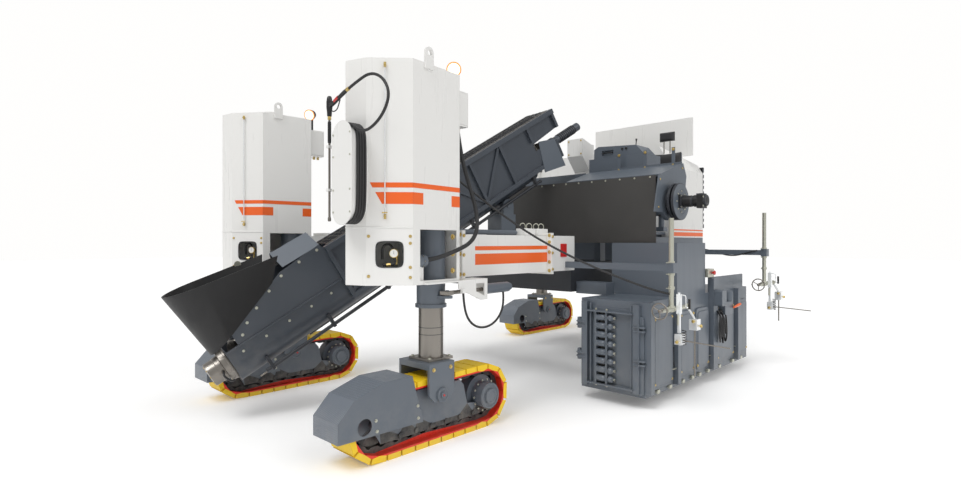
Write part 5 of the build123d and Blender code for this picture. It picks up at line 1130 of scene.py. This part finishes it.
# %% Masts and sensors
def sensor_set(name, x, low, top, drop, boom):
    """All pieces of one mast at (x, 2.46); top, drop and boom are heights above `low`."""
    mast = MACHINE.inner((x, 2.46, low))
    tubes = [
        mast.pin((0, 0, 0), (0, 0, top), 0.025, 20),
        mast.pin((0.24, 0.01, 0.03), (-0.36, 0.01, 0.03), 0.022, 20),
        mast.pin((-0.045, 0.052, -0.03), (-0.045, 0.052, -0.13), 0.014, 12)]
    for at in (0.13, -0.01, -0.15, -0.33):
        tubes.append(mast.pin((at, 0.01, 0.03), (at - 0.03, 0.01, 0.03), 0.029, 20))
    for z in (0.05, 0.24, boom - 0.06, boom + 0.055):
        tubes.append(mast.pin((0, 0, z - 0.014), (0, 0, z + 0.014), 0.033, 20))
        tubes.append(mast.pin((0.03, 0, z), (0.075, 0, z), 0.006, 8))
        tubes.append(mast.pin((0.07, -0.022, z), (0.07, 0.022, z), 0.0055, 8))
    piece = add_piece(name + "_tubes", tubes, ZINC)
    slide = [
        mast.cuboid(-0.075, -0.03, 0.035, 0.078, -0.02, 0.18),
        mast.cuboid(-0.067, -0.038, 0.043, 0.07, -0.21, -0.02)]
    bend = [
        (-0.052, 0.06, 0.172), (-0.052, 0.11, 0.17), (-0.054, 0.125, 0.15), (-0.056, 0.128, 0.06),
        (-0.06, 0.15, 0.045)]
    crank = [
        mast.pin((-0.052, 0.057, 0.178), (-0.052, 0.057, 0.196), 0.012, 12),
        mast.tube(curve(bend, 24), 0.006, 8)]
    boxes = [
        mast.cuboid(-0.1, 0.01, 0.035, 0.105, -0.32, -0.215),
        mast.cuboid(-0.44, -0.345, 0.03, 0.115, -0.215, -0.1),
        mast.pin((-0.39, 0.07, -0.1), (-0.35, 0.02, 0.01), 0.013)]
    add_piece(name + "_boxes", slide + boxes + crank, GLASS, bevel=0.003)
    a = np.linspace(-4 * math.pi, 8 * math.pi, 90)
    coil = np.column_stack((0.02 * np.cos(a), 0.02 * np.sin(a), 0.012 * a / math.pi))
    handle = [
        mast.cuboid(-0.074, -0.052, 0.148, 0.168, 0.035, 0.135),
        mast.facing((-0.045, 0.112, -0.27), (0, 0, 1)).tube(coil, 0.004, 6)]
    add_piece(name + "_grips", handle, BLACK)
    knob = turned([(0.005, 0.0), (0.005, 0.01), (0.015, 0.014), (0.018, 0.024), (0.014, 0.034),
            (0.004, 0.038)], 16)
    knobs = [
        mast.facing(spot, axis).put(knob) for spot,
        axis in (((0.01, 0.07, -0.29), (1, 0, 0)), ((-0.1, 0.07, -0.29), (-1, 0, 0)),
            ((-0.393, 0.115, -0.17), (0, 1, 0)), ((-0.345, 0.085, -0.12), (1, 0, 0)),
            ((-0.44, 0.085, -0.12), (-1, 0, 0)))]
    add_piece(name + "_knobs", knobs, BRASS)
    wheel = mast.facing((0.262, 0.01, 0.03), (1, 0, 0))
    spokes = [
        wheel.pin((0, 0, 0.004), (0.076 * math.cos(a), 0.076 * math.sin(a), 0.012), 0.0055, 8)
        for a in np.radians((90, 210, 330))]
    hub = wheel.turned([(0.018, -0.022), (0.018, 0.012), (0.01, 0.018)], 16)
    knob = wheel.pin((0.078, 0, 0.01), (0.078, 0, 0.022), 0.008, 10)
    add_piece(name + "_wheel", [wheel.lifted(0.012).torus(0.077, 0.0075), hub, knob] + spokes, STEEL)
    wands = [
        mast.pin((-0.045, 0.105, -0.28), (-0.045, 0.555, -0.3), 0.0065, 12),
        mast.pin((-0.39, 0.072, -0.215), (-0.39, 0.072, drop), 0.0085, 12)]
    add_piece(name + "_wands", wands, STEEL)
    return piece


near = sensor_set("mast_front", -2.15, 1.0, 0.94, -0.7, 0.44)
sensor_set("mast_rear", -5.0, 1.1, 1.0, -0.51, 0.455)
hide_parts("sensor_masts")
t = np.linspace(0, 1, 14)
coil = np.column_stack((0.046 * np.cos(7 * t) - 5.0, 1.3 + 1.08 * t, 1.555 + 0.046 * np.sin(7 * t)))
add_piece("boom_wiring", MACHINE.tube(curve(coil, 70), 0.009, 8), BLACK)
print("masts fitted")

# %% [markdown]
# ## Cross trough
#
# The auger's drive sits on the trough's left end: a double disc, ringed with
# bolts, and a ribbed motor on a square flange.

# %% Trough fittings
axle = MACHINE.facing((-3.1, 2.138, 2.17), (0, 1, 0))
motor = [
    axle.cuboid(-0.078, 0.078, -0.078, 0.078, 0.0, 0.024),
    axle.turned([(0.06, 0.024), (0.066, 0.03), (0.066, 0.13), (0.06, 0.136), (0.06, 0.15), (0.068, 0.156),
        (0.068, 0.205), (0.062, 0.21)], 32), axle.cuboid(-0.064, 0.064, -0.064, 0.086, 0.205, 0.275),
    axle.turned([(0.045, 0.275), (0.045, 0.3), (0.03, 0.304)], 20)]
add_piece("auger_motor", motor, BLACK, bevel=0.003)
disc = axle.turned([(0.211, -0.0005), (0.209, 0.003), (0.15, 0.003), (0.148, 0.0005)], 48)
add_piece("drive_disc_face", disc, GREY)
corners = [(x, y) for x in (-0.062, 0.062) for y in (-0.062, 0.062)]
heads = [
    axle.lifted(0.024).bolts(corners, 0.01), axle.lifted(0.003).bolt_ring(0.12, 8, 0.007),
    axle.lifted(0.275).bolts([(x * 0.8, y * 0.8 + 0.01) for x, y in corners], 0.008)]
add_piece("motor_bolts", heads, ZINC)
stack = MACHINE.facing((-3.1, 2.062, 2.17), (0, 1, 0))
add_piece("drive_bolts", stack.bolt_ring(0.185, 12, 0.011, 0.13), BRASS)
bars = front_at(-3.4)
spots = [(y, z) for y in (1.15, 1.525, 1.9) for z in (2.655, 2.845)]
add_piece("bar_bolts", bars.lifted(-0.0055).bolts(spots, 0.013), BRASS)
apron = front_at(-2.7995)
add_piece("apron_bolts", apron.bolts([(y, 2.45) for y in np.linspace(-0.25, 1.9, 12)], 0.008), ZINC)
end = side_at(2.0105)
add_piece("end_plate_bolts", end.bolts([(2.83, 2.42), (2.79, 2.1), (3.42, 2.6), (3.4, 2.1)], 0.008), BRASS)

# %% [markdown]
# ## Beams, console and hood
#
# Flanges join the white beams with large bolts, a red reflector marks the joint,
# and two wired boxes sit on top. The console has a lever, a recessed handle and
# two buttons.

# %% Beam fittings
joint_bolts = [side_at(1.2605).bolts([(0.42, z), (1.79, z)], 0.012) for z in (1.4, 1.58, 1.76)]
flange_front = front_at(-1.7695)
joint_bolts.append(flange_front.bolts([(1.232, z) for z in (1.385, 1.48, 1.59, 1.7, 1.775)], 0.014))
joint_bolts.append(front_at(-0.3995).bolts([(1.232, z) for z in (1.4, 1.59, 1.77)], 0.014))
add_piece("beam_bolts", joint_bolts, BRASS, bevel=0.001)
reflector = side_at(1.201).prism(rounded(2.02, 2.13, 1.53, 1.68, 0.008), 0, 0.01)
add_piece("reflector", reflector, RED)
boxes = [MACHINE.cuboid(x - 0.1, x + 0.08, 1.06, 1.19, 1.771, 1.845) for x in (-1.48, -1.7)]
add_piece("beam_boxes", boxes, WHITE, bevel=0.006)
rings = [
    MACHINE.facing((x, 1.13, 1.868), (0.35, 1, 0)).torus(0.034, 0.005)
    for x in (-1.43, -1.54, -1.66, -1.75)]
add_piece("beam_loops", rings, ZINC)
add_piece("beam_pipe", MACHINE.pin((-0.42, 1.08, 1.8), (-1.37, 1.08, 1.8), 0.026), GREY)

# %% Console, cabinet and deck fittings
panel = front_at(-3.53)
button = turned([(0.016, 0.0), (0.016, 0.012), (0.01, 0.016)], 16)
add_piece("console_buttons", [panel.inner((y, 2.955, 0)).put(button) for y in (1.13, 1.19)], BLACK)
stick = tube([(-3.64, 1.27, 2.985), (-3.64, 1.275, 3.04), (-3.635, 1.28, 3.085)], [0.006, 0.006, 0.014], 12)
add_piece("console_lever", MACHINE.put(stick), BLACK)
grip_bar = tube(curve([(-3.545, 0.83, 2.92), (-3.515, 0.84, 2.92), (-3.512, 0.905, 2.92),
        (-3.515, 0.97, 2.92), (-3.545, 0.98, 2.92)], 20), 0.007, 8)
add_piece("console_grip", MACHINE.put(grip_bar), BLACK)
cabinet_face = front_at(-3.5995)
add_piece("cabinet_bolts", cabinet_face.bolts([(y, z) for y in (0.215, 0.425) for z in (2.975, 3.165)],
        0.009), BRASS)

# %% Lamp and control box on the towers
for leg in ("left", "right"):
    tower = LEG[leg]
    lens = tower.facing((-0.16, 0.125, 3.215), (0.6, 0.45, -0.25))
    bowl = lens.turned([(0.022, -0.095), (0.048, -0.08), (0.062, -0.03), (0.064, 0.0), (0.058, 0.002)], 28)
    holder = [tower.cuboid(-0.205, -0.185, 0.1, 0.135, 3.03, 3.2), bowl]
    add_piece("lamp_body_" + leg, holder, BLACK, bevel=0.001)
    add_piece("lamp_rim_" + leg, lens.torus(0.06, 0.006), AMBER)
    add_piece("lamp_glass_" + leg, lens.turned([(0.056, -0.004), (0.056, 0.003), (0.03, 0.01)], 28), LIT)
    door = tower.cuboid(-0.33, -0.16, 0.1401, 0.146, 2.745, 3.025)
    add_piece("control_door_" + leg, door, WHITE, bevel=0.003)
    glands = [tower.pin((x, 0.06, 2.728), (x, 0.06, 2.7), 0.014, 6) for x in (-0.3, -0.25, -0.2)]
    add_piece("control_glands_" + leg, glands, BRASS)
print("beams, console and lamps fitted")

# %% Close
def write_sizes():
    """Brings the scene's view layer up to date."""
    bpy.context.view_layer.update()


write_sizes()
